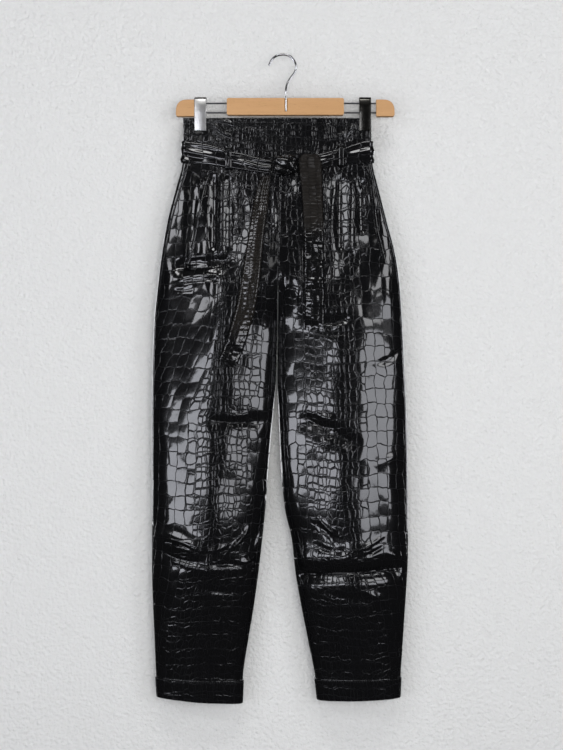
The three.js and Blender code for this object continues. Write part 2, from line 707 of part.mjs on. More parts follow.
for (const [side, word] of [[LEFT, "left"], [RIGHT, "right"]]) {
  add(`front_${word}`, legPanel(side, FRONT), "leather");
  add(`back_${word}`, legPanel(side, BACK), "leather");
  add(`waistband_front_${word}`, waistbandFront(side), "leather");
  add(`hem_${word}`, hemBand(side), "leather");
  add(`pocket_edge_${word}`, pocketEdge(side, POCKETS[word]), "leather");
  add(`hanger_cap_${word}`, hangerCap(side), "wood");
  add(`hanger_clip_${word}`, hangerClip(CLIPS[word]), "chrome");
}
add("waistband_back", waistbandBack(), "leather");
add("fly_underlap", flyUnderlap(), "leather");
add("belt_band", beltBand(), "leather");
add("belt_knot", beltKnot(), "leather");
add("belt_tail_left", beltTail(TAIL_LEFT, false), "leather");
add("belt_tail_right", beltTail(TAIL_RIGHT, true), "leather");
for (const loop of LOOPS) add(loop.name, beltLoop(loop), "leather");
add("hanger_bar", hangerBar(), "wood");
add("hanger_rod_upper", rodAlongX(rodEnds.left, rodEnds.right, ROD.upper, ROD.radius), "steel");
add("hanger_rod_lower", rodAlongX(rodEnds.left, rodEnds.right, ROD.lower, ROD.radius), "steel");
add("hanger_hook", hangerHook(), "chrome");

export default trousers;
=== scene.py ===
"""Glossy crocodile-embossed trousers with a tie belt, hung by the waist from a wooden clip hanger.

The tables repeat the part's own measures, in millimetres; meshes are made in metres.
X runs to the right as seen from the front, Y runs back and Z runs up from the inside of the hook's top.
"""
import math

import bmesh
import bpy
import numpy as np
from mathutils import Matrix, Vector


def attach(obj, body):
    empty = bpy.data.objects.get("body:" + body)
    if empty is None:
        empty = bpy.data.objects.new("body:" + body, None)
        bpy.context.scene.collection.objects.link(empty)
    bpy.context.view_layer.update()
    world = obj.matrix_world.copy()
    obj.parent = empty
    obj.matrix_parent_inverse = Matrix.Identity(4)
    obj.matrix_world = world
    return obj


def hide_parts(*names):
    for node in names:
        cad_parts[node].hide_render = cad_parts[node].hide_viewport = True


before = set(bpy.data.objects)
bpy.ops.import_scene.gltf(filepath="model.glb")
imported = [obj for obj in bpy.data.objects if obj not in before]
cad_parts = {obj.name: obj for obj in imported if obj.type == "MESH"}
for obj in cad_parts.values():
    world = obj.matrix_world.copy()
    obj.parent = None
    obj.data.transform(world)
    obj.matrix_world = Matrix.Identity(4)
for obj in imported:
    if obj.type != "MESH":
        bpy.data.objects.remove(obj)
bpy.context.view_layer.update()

MM = 0.001
LEFT, RIGHT = -1, 1
FRONT, BACK = -1, 1
SIDES = {"left": LEFT, "right": RIGHT}

# Camera and stage
CAMERA_X = -3.1
CAMERA_Z = -549.2
CAMERA_DISTANCE = 2600
VIEW_HEIGHT = 1290
SENSOR = 36
WALL_Y = 39
FLOOR_Z = -1300
FLOOR_REACH = 6000
WALL_REACH = 2000
WALL_TOP = 1500
LIGHT_TARGET = -500
ROOM_LIGHT = 0.025

# Walls, rims and clearances
CLOTH = 1.6
BAND_CLOTH = 2.0
HEM_CLOTH = 1.5
SEAM_GAP = 0.3
LIFT = 0.4
LIP_RADIUS = 1.2
LIP_DEPTH = 0.8
RIM_SHARES = (0.002, 0.005, 0.010)

# Heights
WAIST_TOP = -107.5
WAIST_SEAM = -187
FOLD_START = -202
FOLD_FULL = -222
CROTCH_START = -345
CROTCH = -484
CROTCH_CRUMPLE = -425
KNEE = -850
SLOPE_START = -1030
HEM = -1101
HEM_TOP = -1066

# The belt, its free ends and its loops
BELT_BODY = 2.6
BELT_RIDGE = 1.3
BELT_LIFT = 0.9
BELT_AROUND_Z = -165.8
BELT_AROUND_WIDTH = 37
TAIL_BODY = 2.2
TAIL_CROWN = 0.8
TAIL_SCALE = 12.5
LOOP_FOOT = 3
LOOP_CLOTH = 1.4

# The fly's underlap
FLY_LEFT = -16
FLY_RIGHT = 24
FLY_BOTTOM = -352
FLY_CLOTH = 1.2

# Stitches
STITCH = 3.1
STITCH_PITCH = 4.0
THREAD_WIDTH = 0.55
WAIST_STITCH_DROP = 9
HEM_STITCH_DROP = 3

# Hanger
WIRE = 1.9
ROD = 1.4
WIRE_SIDES = 20

# The angle, in degrees, from which an edge looks sharp
SHARP = 50

# Size of one large embossed scale, across and along
SCALE_WIDTH = 17.5
SCALE_LENGTH = 24


def table(names, rows):
    """Rows of numbers as dictionaries with the named columns."""
    return [dict(zip(names.split(), row)) for row in rows]


# The garment by height: x of both outlines, depth of front and back, depth and width of the rounded edge.
OUTLINE = table("z left right front back edge round", [
    (-107, -172.5, 151.5, 8, 7, 2.8, 2.8),
    (-147, -172.0, 151.5, 11, 9, 3.2, 3.4),
    (-187, -174.0, 154.0, 15, 12, 4.5, 6),
    (-230, -185.0, 164.0, 19, 15, 6, 10),
    (-283, -199.0, 177.6, 24, 18, 8, 15),
    (-351, -210.6, 194.5, 30, 22, 12, 24),
    (-395, -215.8, 200.4, 33, 24, 14, 28),
    (-453, -221.8, 204.2, 36, 26, 17, 32),
    (-529, -224.6, 207.8, 38, 28, 20, 36),
    (-613, -225.7, 211.5, 41, 29, 22, 38),
    (-703, -225.8, 213.5, 44, 31, 24, 40),
    (-829, -225.8, 214.5, 49, 33, 26, 42),
    (-878, -225.8, 213.6, 50, 33, 26, 42),
    (-902, -225.5, 212.4, 47, 31, 25, 40),
    (-942, -224.0, 209.7, 42, 28, 23, 38),
    (-1008, -221.2, 205.4, 34, 24, 20, 34),
    (-1065, -218.6, 201.8, 28, 21, 17, 30),
    (-1116, -215.4, 199.2, 25, 19, 15, 28),
])

# The centre seam above the crotch and the inside of each leg below it, by height.
INSIDE = table("z left right", [
    (-107, 0, 0),
    (-187, -4, -4),
    (-300, -7, -7),
    (-395, -9, -9),
    (-484, -10.6, -9.4),
    (-560, -12.6, -10.6),
    (-612, -17, -8.4),
    (-703, -25, -4.6),
    (-776, -30.3, 2),
    (-833, -36.1, 14.6),
    (-887, -42.4, 20.5),
    (-942, -49.8, 30),
    (-1008, -60.6, 43),
    (-1065, -69, 54.2),
    (-1116, -71.3, 60.2),
])

# How far the side seam lies in front of the outline, by height.
SEAM_ROLL = table("z left right", [(-107, 11, 8), (-260, 11, 8), (-480, 7, 6), (-1116, 6, 6)])

# How far the lower edge drops at its outer and inner end.
HEM_DROP = {LEFT: (1, 12), RIGHT: (2, 6)}

# The main folds, softened at the waist: a positive height stands out, a negative one is a trough.
FOLDS = table("face x0 z0 x1 z1 width height", [
    (FRONT, -105, -200, -104, -345, 8, 3.4),
    (FRONT, -118, -205, -119, -330, 6, -2.8),
    (FRONT, -133, -225, -136, -350, 9, 2.6),
    (FRONT, -91, -200, -93, -330, 7, -2.4),
    (FRONT, 99, -200, 98, -330, 7, -3.0),
    (FRONT, 116, -205, 115, -330, 9, 3.4),
    (FRONT, 133, -200, 135, -300, 7, -3.4),
    (FRONT, -178, -362, -100, -352, 9, -3.2),
    (FRONT, -180, -384, -110, -380, 10, 1.6),
    (FRONT, -205, -398, -125, -394, 30, 3.4),
    (FRONT, 150, -402, 190, -406, 30, 3.0),
    (FRONT, 66, -460, 103, -455, 10, -4),
    (FRONT, -112, -628, -48, -628, 12, -3.4),
    (FRONT, 44, -628, 116, -664, 14, -3.2),
    (FRONT, -222, -818, -150, -842, 14, 5),
    (FRONT, 34, -889, 192, -880, 13, -8),
    (FRONT, 44, -862, 185, -852, 20, 3),
    (BACK, -75, -205, -72, -310, 8, -3),
    (BACK, 62, -205, 60, -310, 8, -3),
    (BACK, -190, -452, -40, -500, 16, -5),
    (BACK, 180, -452, 30, -500, 16, -5),
    (BACK, -205, -560, -60, -545, 18, 4),
    (BACK, 195, -560, 50, -545, 18, 4),
    (BACK, -210, -872, -60, -884, 16, -5),
    (BACK, 200, -872, 40, -884, 16, -5),
])

# Finer creases of the cloth. A crease bows sideways by bow at its middle, and on one flank its width is
# multiplied by steep.
CREASES = table("face x0 z0 x1 z1 bow width height steep", [
    (FRONT, -120, -118, -88, -141, 3, 4, 2.2, 0.5),
    (FRONT, -119, -112, -80, -121, -2, 3.5, 1.8, 0.6),
    (FRONT, -124, -130, -106, -150, 2, 3.5, -1.8, 0.6),
    (FRONT, 121, -118, 94, -139, -3, 4, 2.2, 0.5),
    (FRONT, 124, -131, 110, -150, 2, 3.5, -1.8, 0.6),
    (FRONT, -147, -214, -156, -345, -6, 9, 2.6, 0.6),
    (FRONT, -168, -235, -172, -340, 3, 6, 1.6, 1.0),
    (FRONT, -128, -262, -127, -335, 2, 4, 1.4, 0.7),
    (FRONT, -14, -215, -9, -360, 3, 5, 1.8, 0.7),
    (FRONT, 7, -380, 4, -455, 2, 5, 2.4, 0.7),
    (FRONT, 30, -330, 26, -440, -3, 5, 1.6, 0.7),
    (FRONT, 88, -230, 84, -360, 4, 6, 1.8, 0.6),
    (FRONT, 64, -470, 120, -476, 3, 6, -1.4, 1.0),
    (FRONT, -60, -205, -52, -300, 2, 6, 0.8, 1.0),
    (FRONT, 15, -209, 1, -253, -2, 4, 2.0, 0.6),
    (FRONT, 26, -206, 14, -262, -3, 4, -1.0, 1.0),
    (FRONT, 127, -206, 134, -236, 2, 3, 1.6, 0.7),
    (FRONT, 151, -205, 158, -300, 3, 5, 1.6, 1.0),
    (FRONT, -180, -367, -96, -361, 3, 3.4, -1.8, 0.6),
    (FRONT, -176, -392, -112, -388, -3, 4, -1.5, 0.6),
    (FRONT, -150, -374, -104, -379, 2, 4, 1.2, 1.0),
    (FRONT, -168, -350, -120, -346, -2, 4, 1.2, 1.0),
    (FRONT, -186, -405, -150, -400, 2, 4, -1.2, 1.0),
    (FRONT, 64, -462, 104, -455, 3, 3, -2.2, 0.5),
    (FRONT, 84, -470, 112, -463, -2, 4, 1.2, 1.0),
    (FRONT, -113, -627, -46, -629, 3, 3.0, -1.8, 0.5),
    (FRONT, -118, -617, -60, -616, 2, 5, 1.8, 1.0),
    (FRONT, -104, -640, -50, -642, -2, 5, 1.2, 1.0),
    (FRONT, 42, -624, 84, -640, 4, 4.5, -1.5, 0.6),
    (FRONT, 84, -640, 122, -663, 4, 4.5, -1.5, 0.6),
    (FRONT, 50, -612, 100, -628, 3, 6, 1.8, 1.0),
    (FRONT, 60, -664, 106, -676, -4, 6, 1.6, 1.0),
    (FRONT, -222, -806, -168, -832, 5, 4, 2.0, 0.5),
    (FRONT, -216, -832, -150, -846, -3, 4, -2.6, 0.5),
    (FRONT, -204, -852, -140, -866, 4, 4, -1.6, 1.0),
    (FRONT, -180, -866, -96, -878, 5, 6, 1.8, 1.0),
    (FRONT, -140, -846, -92, -836, 4, 4, 2.0, 0.6),
    (FRONT, -120, -872, -52, -880, -5, 5, -2.2, 0.5),
    (FRONT, -92, -846, -58, -808, 4, 3.6, 2.4, 0.6),
    (FRONT, -78, -870, -50, -858, 3, 4, 1.8, 1.0),
    (FRONT, -150, -905, -70, -918, 4, 6, -1.6, 1.0),
    (FRONT, 30, -890, 206, -879, 0, 4.5, -3.0, 0.35),
    (FRONT, 60, -792, 96, -822, 4, 3.6, 2.4, 0.6),
    (FRONT, 52, -800, 88, -838, -4, 4, -2.0, 1.0),
    (FRONT, 120, -846, 168, -824, 3, 4, 2.2, 0.6),
    (FRONT, 124, -858, 172, -838, 3, 4, -1.6, 1.0),
    (FRONT, 176, -850, 206, -858, 2, 5, 2.2, 1.0),
    (FRONT, 56, -838, 110, -846, 5, 5, -1.8, 1.0),
    (FRONT, 70, -916, 150, -930, 4, 6, -1.6, 1.0),
    (FRONT, 130, -912, 190, -934, 4, 6, 1.6, 1.0),
    (FRONT, 160, -530, 200, -505, 4, 5, -1.6, 1.0),
    (FRONT, 150, -700, 205, -676, 5, 8, 1.6, 1.0),
    (FRONT, -30, -800, -50, -860, 3, 4, 2.0, 0.6),
    (BACK, -190, -400, -60, -440, 14, 7, -2.0, 1.0),
    (BACK, 178, -396, 44, -440, -14, 7, -2.0, 1.0),
    (BACK, -180, -470, -50, -520, 10, 6, 2.0, 0.7),
    (BACK, 172, -470, 40, -520, -10, 6, 2.0, 0.7),
    (BACK, -150, -330, -40, -420, 10, 7, 1.6, 1.0),
    (BACK, 140, -330, 30, -420, -10, 7, 1.6, 1.0),
    (BACK, -200, -640, -80, -620, 8, 8, -1.8, 1.0),
    (BACK, 190, -636, 70, -618, -8, 8, -1.8, 1.0),
    (BACK, -214, -846, -70, -858, 8, 6, 2.4, 0.7),
    (BACK, 202, -846, 50, -858, -8, 6, 2.4, 0.7),
    (BACK, -210, -890, -76, -900, -6, 5, -2.2, 0.6),
    (BACK, 200, -890, 56, -900, 6, 5, -2.2, 0.6),
    (BACK, -190, -920, -90, -940, 6, 7, 1.8, 1.0),
    (BACK, 180, -920, 70, -940, -6, 7, 1.8, 1.0),
    (BACK, -120, -210, -124, -300, 2, 6, 1.6, 1.0),
    (BACK, 108, -210, 112, -300, -2, 6, 1.6, 1.0),
])

# The slanted pocket mouths, from the belt down.
POCKETS = {
    "left": table("x z", [
        (-129, -199), (-138, -219), (-145, -247), (-152, -285), (-161, -330), (-169, -366)]),
    "right": table("x z", [(146, -196), (155, -226), (159, -262), (163, -300), (170, -328), (177, -356)]),
}
POCKET_STRIP = 7

# The belt's middle line and width across the front, by distance from the centre.
BELT = {
    LEFT: table("x z width", [
        (-21, -193, 24), (-49, -188.5, 26), (-75, -183.5, 29), (-93, -180, 29), (-112, -175, 33),
        (-135, -170, 36), (-176, -166, 37),
    ]),
    RIGHT: table("x z width", [
        (27, -190, 24), (64, -184, 27), (85, -178, 28), (99, -175, 28), (122, -169.5, 34), (140, -166, 37),
        (156, -165.5, 37),
    ]),
}

# The belt's free ends, from the knot down.
TAILS = {
    "left": table("x z width", [
        (-29, -209, 15), (-34, -228, 21), (-39, -262, 25), (-45, -300, 26), (-50, -340, 28), (-56, -390, 31),
        (-63, -432, 32), (-73, -470, 33), (-84, -505, 34), (-93, -531, 33),
    ]),
    "right": table("x z width", [
        (45, -172, 37), (46, -186, 38), (47, -205, 37), (49, -235, 35), (51, -275, 34), (52, -320, 34),
        (52, -370, 34), (53, -420, 34), (53, -474, 34),
    ]),
}

KNOT = {"x": 3, "z": -190.5, "half_width": 22, "half_height": 17, "forward": 13, "behind": 7}

LOOPS = table("name face x upper lower width", [
    ("belt_loop_front_left", FRONT, -94, -160, -199, 11),
    ("belt_loop_front_right", FRONT, 99, -156, -194, 9),
    ("belt_loop_back_left", BACK, -98, -141, -190, 10),
    ("belt_loop_back_middle", BACK, -6, -141, -190, 10),
    ("belt_loop_back_right", BACK, 82, -141, -190, 10),
])

# The middle of each leg's strip of small scales, by height.
STRIP = table("z left right", [
    (-107, -70, 62), (-300, -80, 66), (-560, -97, 78), (-760, -104, 82), (-880, -116, 92), (-1000, -136, 116),
    (-1116, -144, 130),
])


def step(start, end, value):
    """0 before start, 1 after end and a soft step between them."""
    t = np.clip((np.asarray(value, float) - start) / (end - start), 0, 1)
    return t * t * (3 - 2 * t)


def smooth_curve(rows, column, along="z"):
    """A smooth curve through a table's column that never passes its neighbouring values."""
    ordered = sorted(rows, key=lambda row: row[along])
    at = np.array([row[along] for row in ordered], float)
    value = np.array([row[column] for row in ordered], float)
    gap = np.diff(at)
    rise = np.diff(value) / gap
    slope = np.empty_like(value)
    slope[0], slope[-1] = rise[0], rise[-1]
    for i in range(1, len(at) - 1):
        before = 2 * gap[i] + gap[i - 1]
        after = gap[i] + 2 * gap[i - 1]
        turns = rise[i - 1] * rise[i] <= 0
        slope[i] = 0 if turns else (before + after) / (before / rise[i - 1] + after / rise[i])

    def curve(place):
        place = np.asarray(place, float)
        i = np.clip(np.searchsorted(at, place, side="right") - 1, 0, len(at) - 2)
        t = np.clip((place - at[i]) / gap[i], 0, 1)
        blend = t * t * (3 - 2 * t)
        run = gap[i] * t * (1 - t)
        return value[i] * (1 - blend) + value[i + 1] * blend + run * ((1 - t) * slope[i] - t * slope[i + 1])

    return curve


def run_length(points):
    """Length along a line of points from its start to each of them."""
    steps = np.linalg.norm(np.diff(points, axis=0), axis=1)
    return np.concatenate([[0], np.cumsum(steps)])


def by_side(rows):
    """The curves of a table's left and right columns."""
    return {LEFT: smooth_curve(rows, "left"), RIGHT: smooth_curve(rows, "right")}


outline_x = by_side(OUTLINE)
inside_x = by_side(INSIDE)
seam_roll = by_side(SEAM_ROLL)
strip_x = by_side(STRIP)
wall_depth = {FRONT: smooth_curve(OUTLINE, "front"), BACK: smooth_curve(OUTLINE, "back")}
edge_depth = smooth_curve(OUTLINE, "edge")
edge_width = smooth_curve(OUTLINE, "round")

RING_STEP = 2.0
RING_HEIGHTS = np.arange(-1120, -104, RING_STEP)
RING_SAMPLES = 201


def wall_line(side, face, z):
    """Outside of one wall at height z, as rows of x and y from the outline to the wall's inner end."""
    inward = -side
    turned = 1 - step(CROTCH, CROTCH_START, z)
    angle = turned * math.pi / 2
    edge, width = edge_depth(z), edge_width(z)
    belly = wall_depth[face](z) - edge
    outer = outline_x[side](z)
    flat_start = outer + inward * width
    flat_end = inside_x[side](z) - inward * (SEAM_GAP / 2 + width * math.sin(angle))
    phi = np.linspace(0, math.pi / 2, 61)
    q = np.linspace(0, 1, 121)[1:]
    xs = [outer + inward * width * (1 - np.cos(phi)), flat_start + (flat_end - flat_start) * q]
    rims = [edge * np.sin(phi), edge + 0 * q]
    if angle > 0.02:
        phi = np.linspace(0, angle, 61)[1:]
        xs.append(flat_end + inward * width * np.sin(phi))
        rims.append(edge * np.cos(phi))
    x = np.concatenate(xs)
    share = (x - outer) / (x[-1] - outer)
    y = np.concatenate(rims) + belly * (1 - np.cos(math.pi * (1 + turned) * share)) / 2
    return np.stack([x, face * (y + SEAM_GAP / 2)])


def ring_table(side):
    """One side's section at each ring height, from the front's inner end round the outline to the back's:
    points and outward normals at even steps of length, and the length to the outline and to the end."""
    ring = {name: [] for name in ("x", "y", "nx", "ny", "edge", "total")}
    share = np.linspace(0, 1, RING_SAMPLES)
    for z in RING_HEIGHTS:
        front = wall_line(side, FRONT, z)[:, ::-1]
        points = np.concatenate([front, wall_line(side, BACK, z)], axis=1)
        run = run_length(points.T)
        edge, total = run[front.shape[1] - 1], run[-1]
        at = np.concatenate([edge * share, edge + (total - edge) * share[1:]])
        x, y = np.interp(at, run, points[0]), np.interp(at, run, points[1])
        dx, dy = np.gradient(x, at), np.gradient(y, at)
        size = np.hypot(dx, dy)
        row = {"x": x, "y": y, "nx": side * dy / size, "ny": -side * dx / size, "edge": edge, "total": total}
        for name, value in row.items():
            ring[name].append(value)
    return {name: np.array(value) for name, value in ring.items()}


rings = {side: ring_table(side) for side in (LEFT, RIGHT)}


def ring_row(z):
    """Index of the ring height below z and the share of the way to the next."""
    row = np.clip((np.asarray(z, float) - RING_HEIGHTS[0]) / RING_STEP, 0, len(RING_HEIGHTS) - 1.001)
    i = row.astype(int)
    return i, row - i


def ring_length(side, name, z):
    """Length along the section to the outline ("edge") or to its end ("total")."""
    i, t = ring_row(z)
    lengths = rings[side][name]
    return lengths[i] * (1 - t) + lengths[i + 1] * t


def fold_height(face, x, z):
    """How far the main folds move the cloth out."""
    height = np.zeros(np.shape(x))
    for fold in FOLDS:
        dx, dz = fold["x1"] - fold["x0"], fold["z1"] - fold["z0"]
        t = np.clip(((x - fold["x0"]) * dx + (z - fold["z0"]) * dz) / (dx * dx + dz * dz), 0, 1)
        away = np.hypot(x - fold["x0"] - dx * t, z - fold["z0"] - dz * t)
        height += (face == fold["face"]) * fold["height"] * np.exp(-((away / fold["width"]) ** 2))
    return height * step(FOLD_START, FOLD_FULL, z)


def crease_height(face, x, z):
    """How far the finer creases move the cloth out."""
    height = np.zeros(np.shape(x))
    for number, crease in enumerate(CREASES):
        dx, dz = crease["x1"] - crease["x0"], crease["z1"] - crease["z0"]
        length = math.hypot(dx, dz)
        along = ((x - crease["x0"]) * dx + (z - crease["z0"]) * dz) / length
        across = ((x - crease["x0"]) * dz - (z - crease["z0"]) * dx) / length
        t = np.clip(along / length, 0, 1)
        away = across - crease["bow"] * 4 * t * (1 - t)
        width = crease["width"] * np.where(away > 0, crease["steep"], 1) * (1 + 0.25 * np.sin(5 * t + number))
        past = along - t * length
        swell = (0.25 + 0.75 * np.sin(math.pi * t)) * (1 + 0.3 * np.sin(9 * t + 2 * number))
        shape = np.exp(-((away / width) ** 2) - (past / crease["width"]) ** 2)
        height += (face == crease["face"]) * crease["height"] * swell * shape
    return height * np.maximum(step(FOLD_START + 4, FOLD_FULL, z), step(-165, -150, z))


RIPPLES = np.random.default_rng(7).uniform(size=(22, 4))
CRUMPLES = np.random.default_rng(21).uniform(size=(11, 3))
CRUMPLE_MEAN = 3.2


def wave(x, z, length, angle, slant, phase):
    """The sine of a wave over the cloth, turned by angle from one that runs across."""
    way = 2 * math.pi / length * (x * math.cos(angle) + slant * z * math.sin(angle))
    return np.sin(way + 2 * math.pi * phase)


def ripple(x, z):
    """Slight unevenness of cloth that hangs, in waves of 30 to 110 mm, longer up and down than across."""
    height = np.zeros(np.shape(x))
    for share, turn, phase, size in RIPPLES:
        length = 30 + 80 * share
        height += (0.3 + size) * length / 520 * wave(x, z, length, (turn - 0.5) * 2.2, 0.6, phase)
    return height


def crumple(x, z):
    """Sharp-ridged crumples of 20 to 55 mm where the cloth is bunched, at the hips, crotch and knees."""
    bunched = 0.9 * step(-500, -360, z) * (0.35 + 0.65 * step(30, 80, np.abs(x + 8)))
    crotch = np.exp(-(((z - CROTCH_CRUMPLE) / 45) ** 2) - ((x / 75) ** 2))
    bunched = bunched + 0.9 * np.exp(-(((z - KNEE) / 34) ** 2)) + 1.1 * crotch + 0.12
    x, z = x + 7 * np.sin(z / 37) + 3 * np.sin(z / 13), z + 9 * np.sin(x / 29)
    height = np.zeros(np.shape(x))
    for share, turn, phase in CRUMPLES:
        length = 44 + 70 * share
        height -= 0.0060 * length * np.sqrt(wave(x, z, length, (turn - 0.5) * 2.8, 0.45, phase) ** 2 + 0.06)
    return bunched * (height + CRUMPLE_MEAN)


def arrays(*values):
    """Arrays of numbers, spread to one shape."""
    return np.broadcast_arrays(*(np.asarray(value, float) for value in values))


def on_ring(side, z, along, out, creased=True):
    """Points at a length along one side's section at height z, moved out of the surface by out."""
    z, along, out = arrays(z, along, out)
    ring = rings[side]
    i, t = ring_row(z)
    edge, total = ring_length(side, "edge", z), ring_length(side, "total", z)
    share = np.where(along < edge, along / edge, 1 + (along - edge) / (total - edge))
    column = np.clip(share * (RING_SAMPLES - 1), 0, 2 * (RING_SAMPLES - 1) - 0.001)
    j = column.astype(int)
    s = column - j

    def sample(name):
        grid = ring[name]
        below = grid[i, j] * (1 - s) + grid[i, j + 1] * s
        above = grid[i + 1, j] * (1 - s) + grid[i + 1, j + 1] * s
        return below * (1 - t) + above * t

    x, y, nx, ny = (sample(name) for name in ("x", "y", "nx", "ny"))
    face = np.where(along < edge, FRONT, BACK)
    to_seam = np.where(face == FRONT, along, total - along)
    to_edge = np.abs(along - edge)
    inner = step(0, 14, to_seam)
    # Folds and creases fade towards the side edge and the inner seam, and no wall crosses the middle.
    away = out + fold_height(face, x, z) * step(9, 32, to_edge) * inner
    if creased:
        fine = crease_height(face, x, z) + (ripple(x, z) + crumple(x, z)) * step(WAIST_SEAM, FOLD_FULL, z)
        away = away + fine * step(2, 14, to_edge) * inner
    moved = y + ny * away
    kept = np.where(to_seam < 20, face * np.maximum(moved * face, SEAM_GAP / 2), moved)
    return np.stack([x + nx * away, kept, z], axis=-1)


def length_at(side, face, row, x):
    """The length along one ring of the table at which its front or back passes x."""
    ring, share = rings[side], np.linspace(0, 1, RING_SAMPLES)
    edge = ring["edge"][row]
    if face == FRONT:
        return np.interp(x * side, ring["x"][row, :RING_SAMPLES] * side, share * edge)
    back = ring["x"][row, RING_SAMPLES - 1:] * side
    return edge + (ring["total"][row] - edge) * np.interp(x * side, back[::-1], 1 - share)


def face_length(side, face, z, x):
    """The length along a side's section at which its front or back passes x. The front is found between two
    rings, and the back on the one below."""
    z, x = arrays(z, x)
    i, t = ring_row(z)
    found = np.zeros(z.shape)
    for row in np.unique(i):
        here = i == row
        found[here] = length_at(side, face, row, x[here])
        if face == FRONT:
            next_ring = length_at(side, face, row + 1, x[here])
            found[here] = found[here] * (1 - t[here]) + next_ring * t[here]
    return found


def on_face(face, x, z, out, creased=True):
    """Points on the front or back at x and z, moved out by out."""
    x, z, out = arrays(x, z, out)
    found = np.zeros(x.shape + (3,))
    for side in (LEFT, RIGHT):
        here = (x < inside_x[LEFT](z)) == (side == LEFT)
        if here.any():
            along = face_length(side, face, z[here], x[here])
            found[here] = on_ring(side, z[here], along, out[here], creased)
    return found


def panel_length(side, face, z, share):
    """Where a panel's column lies along its side's section, from the side seam to the inner end."""
    seam = ring_length(side, "edge", z) - seam_roll[side](z)
    if face == FRONT:
        return (seam - SEAM_GAP / 2) * (1 - share)
    start = seam + SEAM_GAP / 2
    return start + (ring_length(side, "total", z) - start) * share


def sloped_height(side, z, x):
    """Height of a row at a point of a leg, where the rows near the hem follow its slope."""
    outer, inner = HEM_DROP[side]
    share = np.clip((x - outline_x[side](z)) / (inside_x[side](z) - outline_x[side](z)), 0, 1)
    return z - (outer + (inner - outer) * share) * np.clip((z - SLOPE_START) / (HEM - SLOPE_START), 0, 1)


def on_panel(side, face, z, share, out):
    """A leg panel's points, moved out of its surface by out."""
    level = on_ring(side, z, panel_length(side, face, z, share), 0, False)
    height = sloped_height(side, z, level[..., 0])
    return on_ring(side, height, panel_length(side, face, height, share), out)


def lined(rows, columns):
    """A column of row values and a row of column values, to be broadcast together."""
    return np.asarray(rows, float)[:, None], np.asarray(columns, float)[None, :]


def eased(count):
    """Even shares from 0 to 1, with a few closer ones at both ends for a rounded lip."""
    first = RIM_SHARES[-1] * 1.6
    last_ones = 1 - np.array(RIM_SHARES[::-1])
    return np.concatenate([[0], RIM_SHARES, np.linspace(first, 1 - first, count), last_ones, [1]])


def rounded(near, radius, depth):
    """How far a rim of the given radius and depth has sunk at a distance from its edge."""
    return -depth * (1 - np.clip(near / radius, 0, 1)) ** 2


def lip(share, length):
    """How far a cut edge rounds over, for a share of the way across a width."""
    return rounded(np.minimum(share, 1 - share) * length, LIP_RADIUS, LIP_DEPTH)


def grid_faces(rows, columns, start, ringed, flipped):
    """Four-sided faces of a grid of vertices that begins at start, closed on itself where it is ringed."""
    index = start + np.arange(rows * columns).reshape(rows, columns)
    if ringed:
        index = np.concatenate([index, index[:, :1]], axis=1)
    quads = np.stack([index[:-1, :-1], index[1:, :-1], index[1:, 1:], index[:-1, 1:]], axis=-1).reshape(-1, 4)
    return [tuple(quad) for quad in (quads[:, ::-1] if flipped else quads).tolist()]


def zipped(outer, inner):
    """Triangles between two lines of vertices with different counts."""
    faces = []
    i = j = 0
    while i < len(outer) - 1 or j < len(inner) - 1:
        on_outer = j == len(inner) - 1 or (
            i < len(outer) - 1 and (i + 1) * (len(inner) - 1) <= (j + 1) * (len(outer) - 1))
        if on_outer:
            faces.append((outer[i], outer[i + 1], inner[j]))
            i += 1
        else:
            faces.append((outer[i], inner[j + 1], inner[j]))
            j += 1
    return faces


def outward(points, faces):
    """A closed shell's faces, turned so that they face out."""
    a, b, c = points[np.array([face[:3] for face in faces]).T]
    volume = np.einsum("ij,ij->i", a, np.cross(b, c)).sum()
    return [face[::-1] for face in faces] if volume < 0 else faces


def shell_mesh(name, points, faces, *materials):
    """A smooth mesh of a closed shell, from points in millimetres."""
    points = np.asarray(points, float).reshape(-1, 3) * MM
    mesh = bpy.data.meshes.new(name)
    mesh.from_pydata(points.tolist(), [], outward(points, faces))
    for material in materials:
        mesh.materials.append(material)
    mesh.polygons.foreach_set("use_smooth", np.ones(len(faces), bool))
    return mesh


def placed(name, content):
    """A new object in the scene with a mesh, light or camera."""
    made = bpy.data.objects.new(name, content)
    bpy.context.scene.collection.objects.link(made)
    return made


def finish_piece(piece, slot, *replaced):
    """Puts a piece on the one body and hides the nodes that it replaces. slot is not used."""
    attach(piece, "root")
    if replaced:
        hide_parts(*replaced)
    return piece


def closed_rings(rows, columns):
    """Faces of a stack of rings with both ends closed."""
    faces = grid_faces(rows, columns, 0, True, False)
    faces.append(tuple(range(columns)))
    faces.append(tuple(range((rows - 1) * columns, rows * columns))[::-1])
    return faces


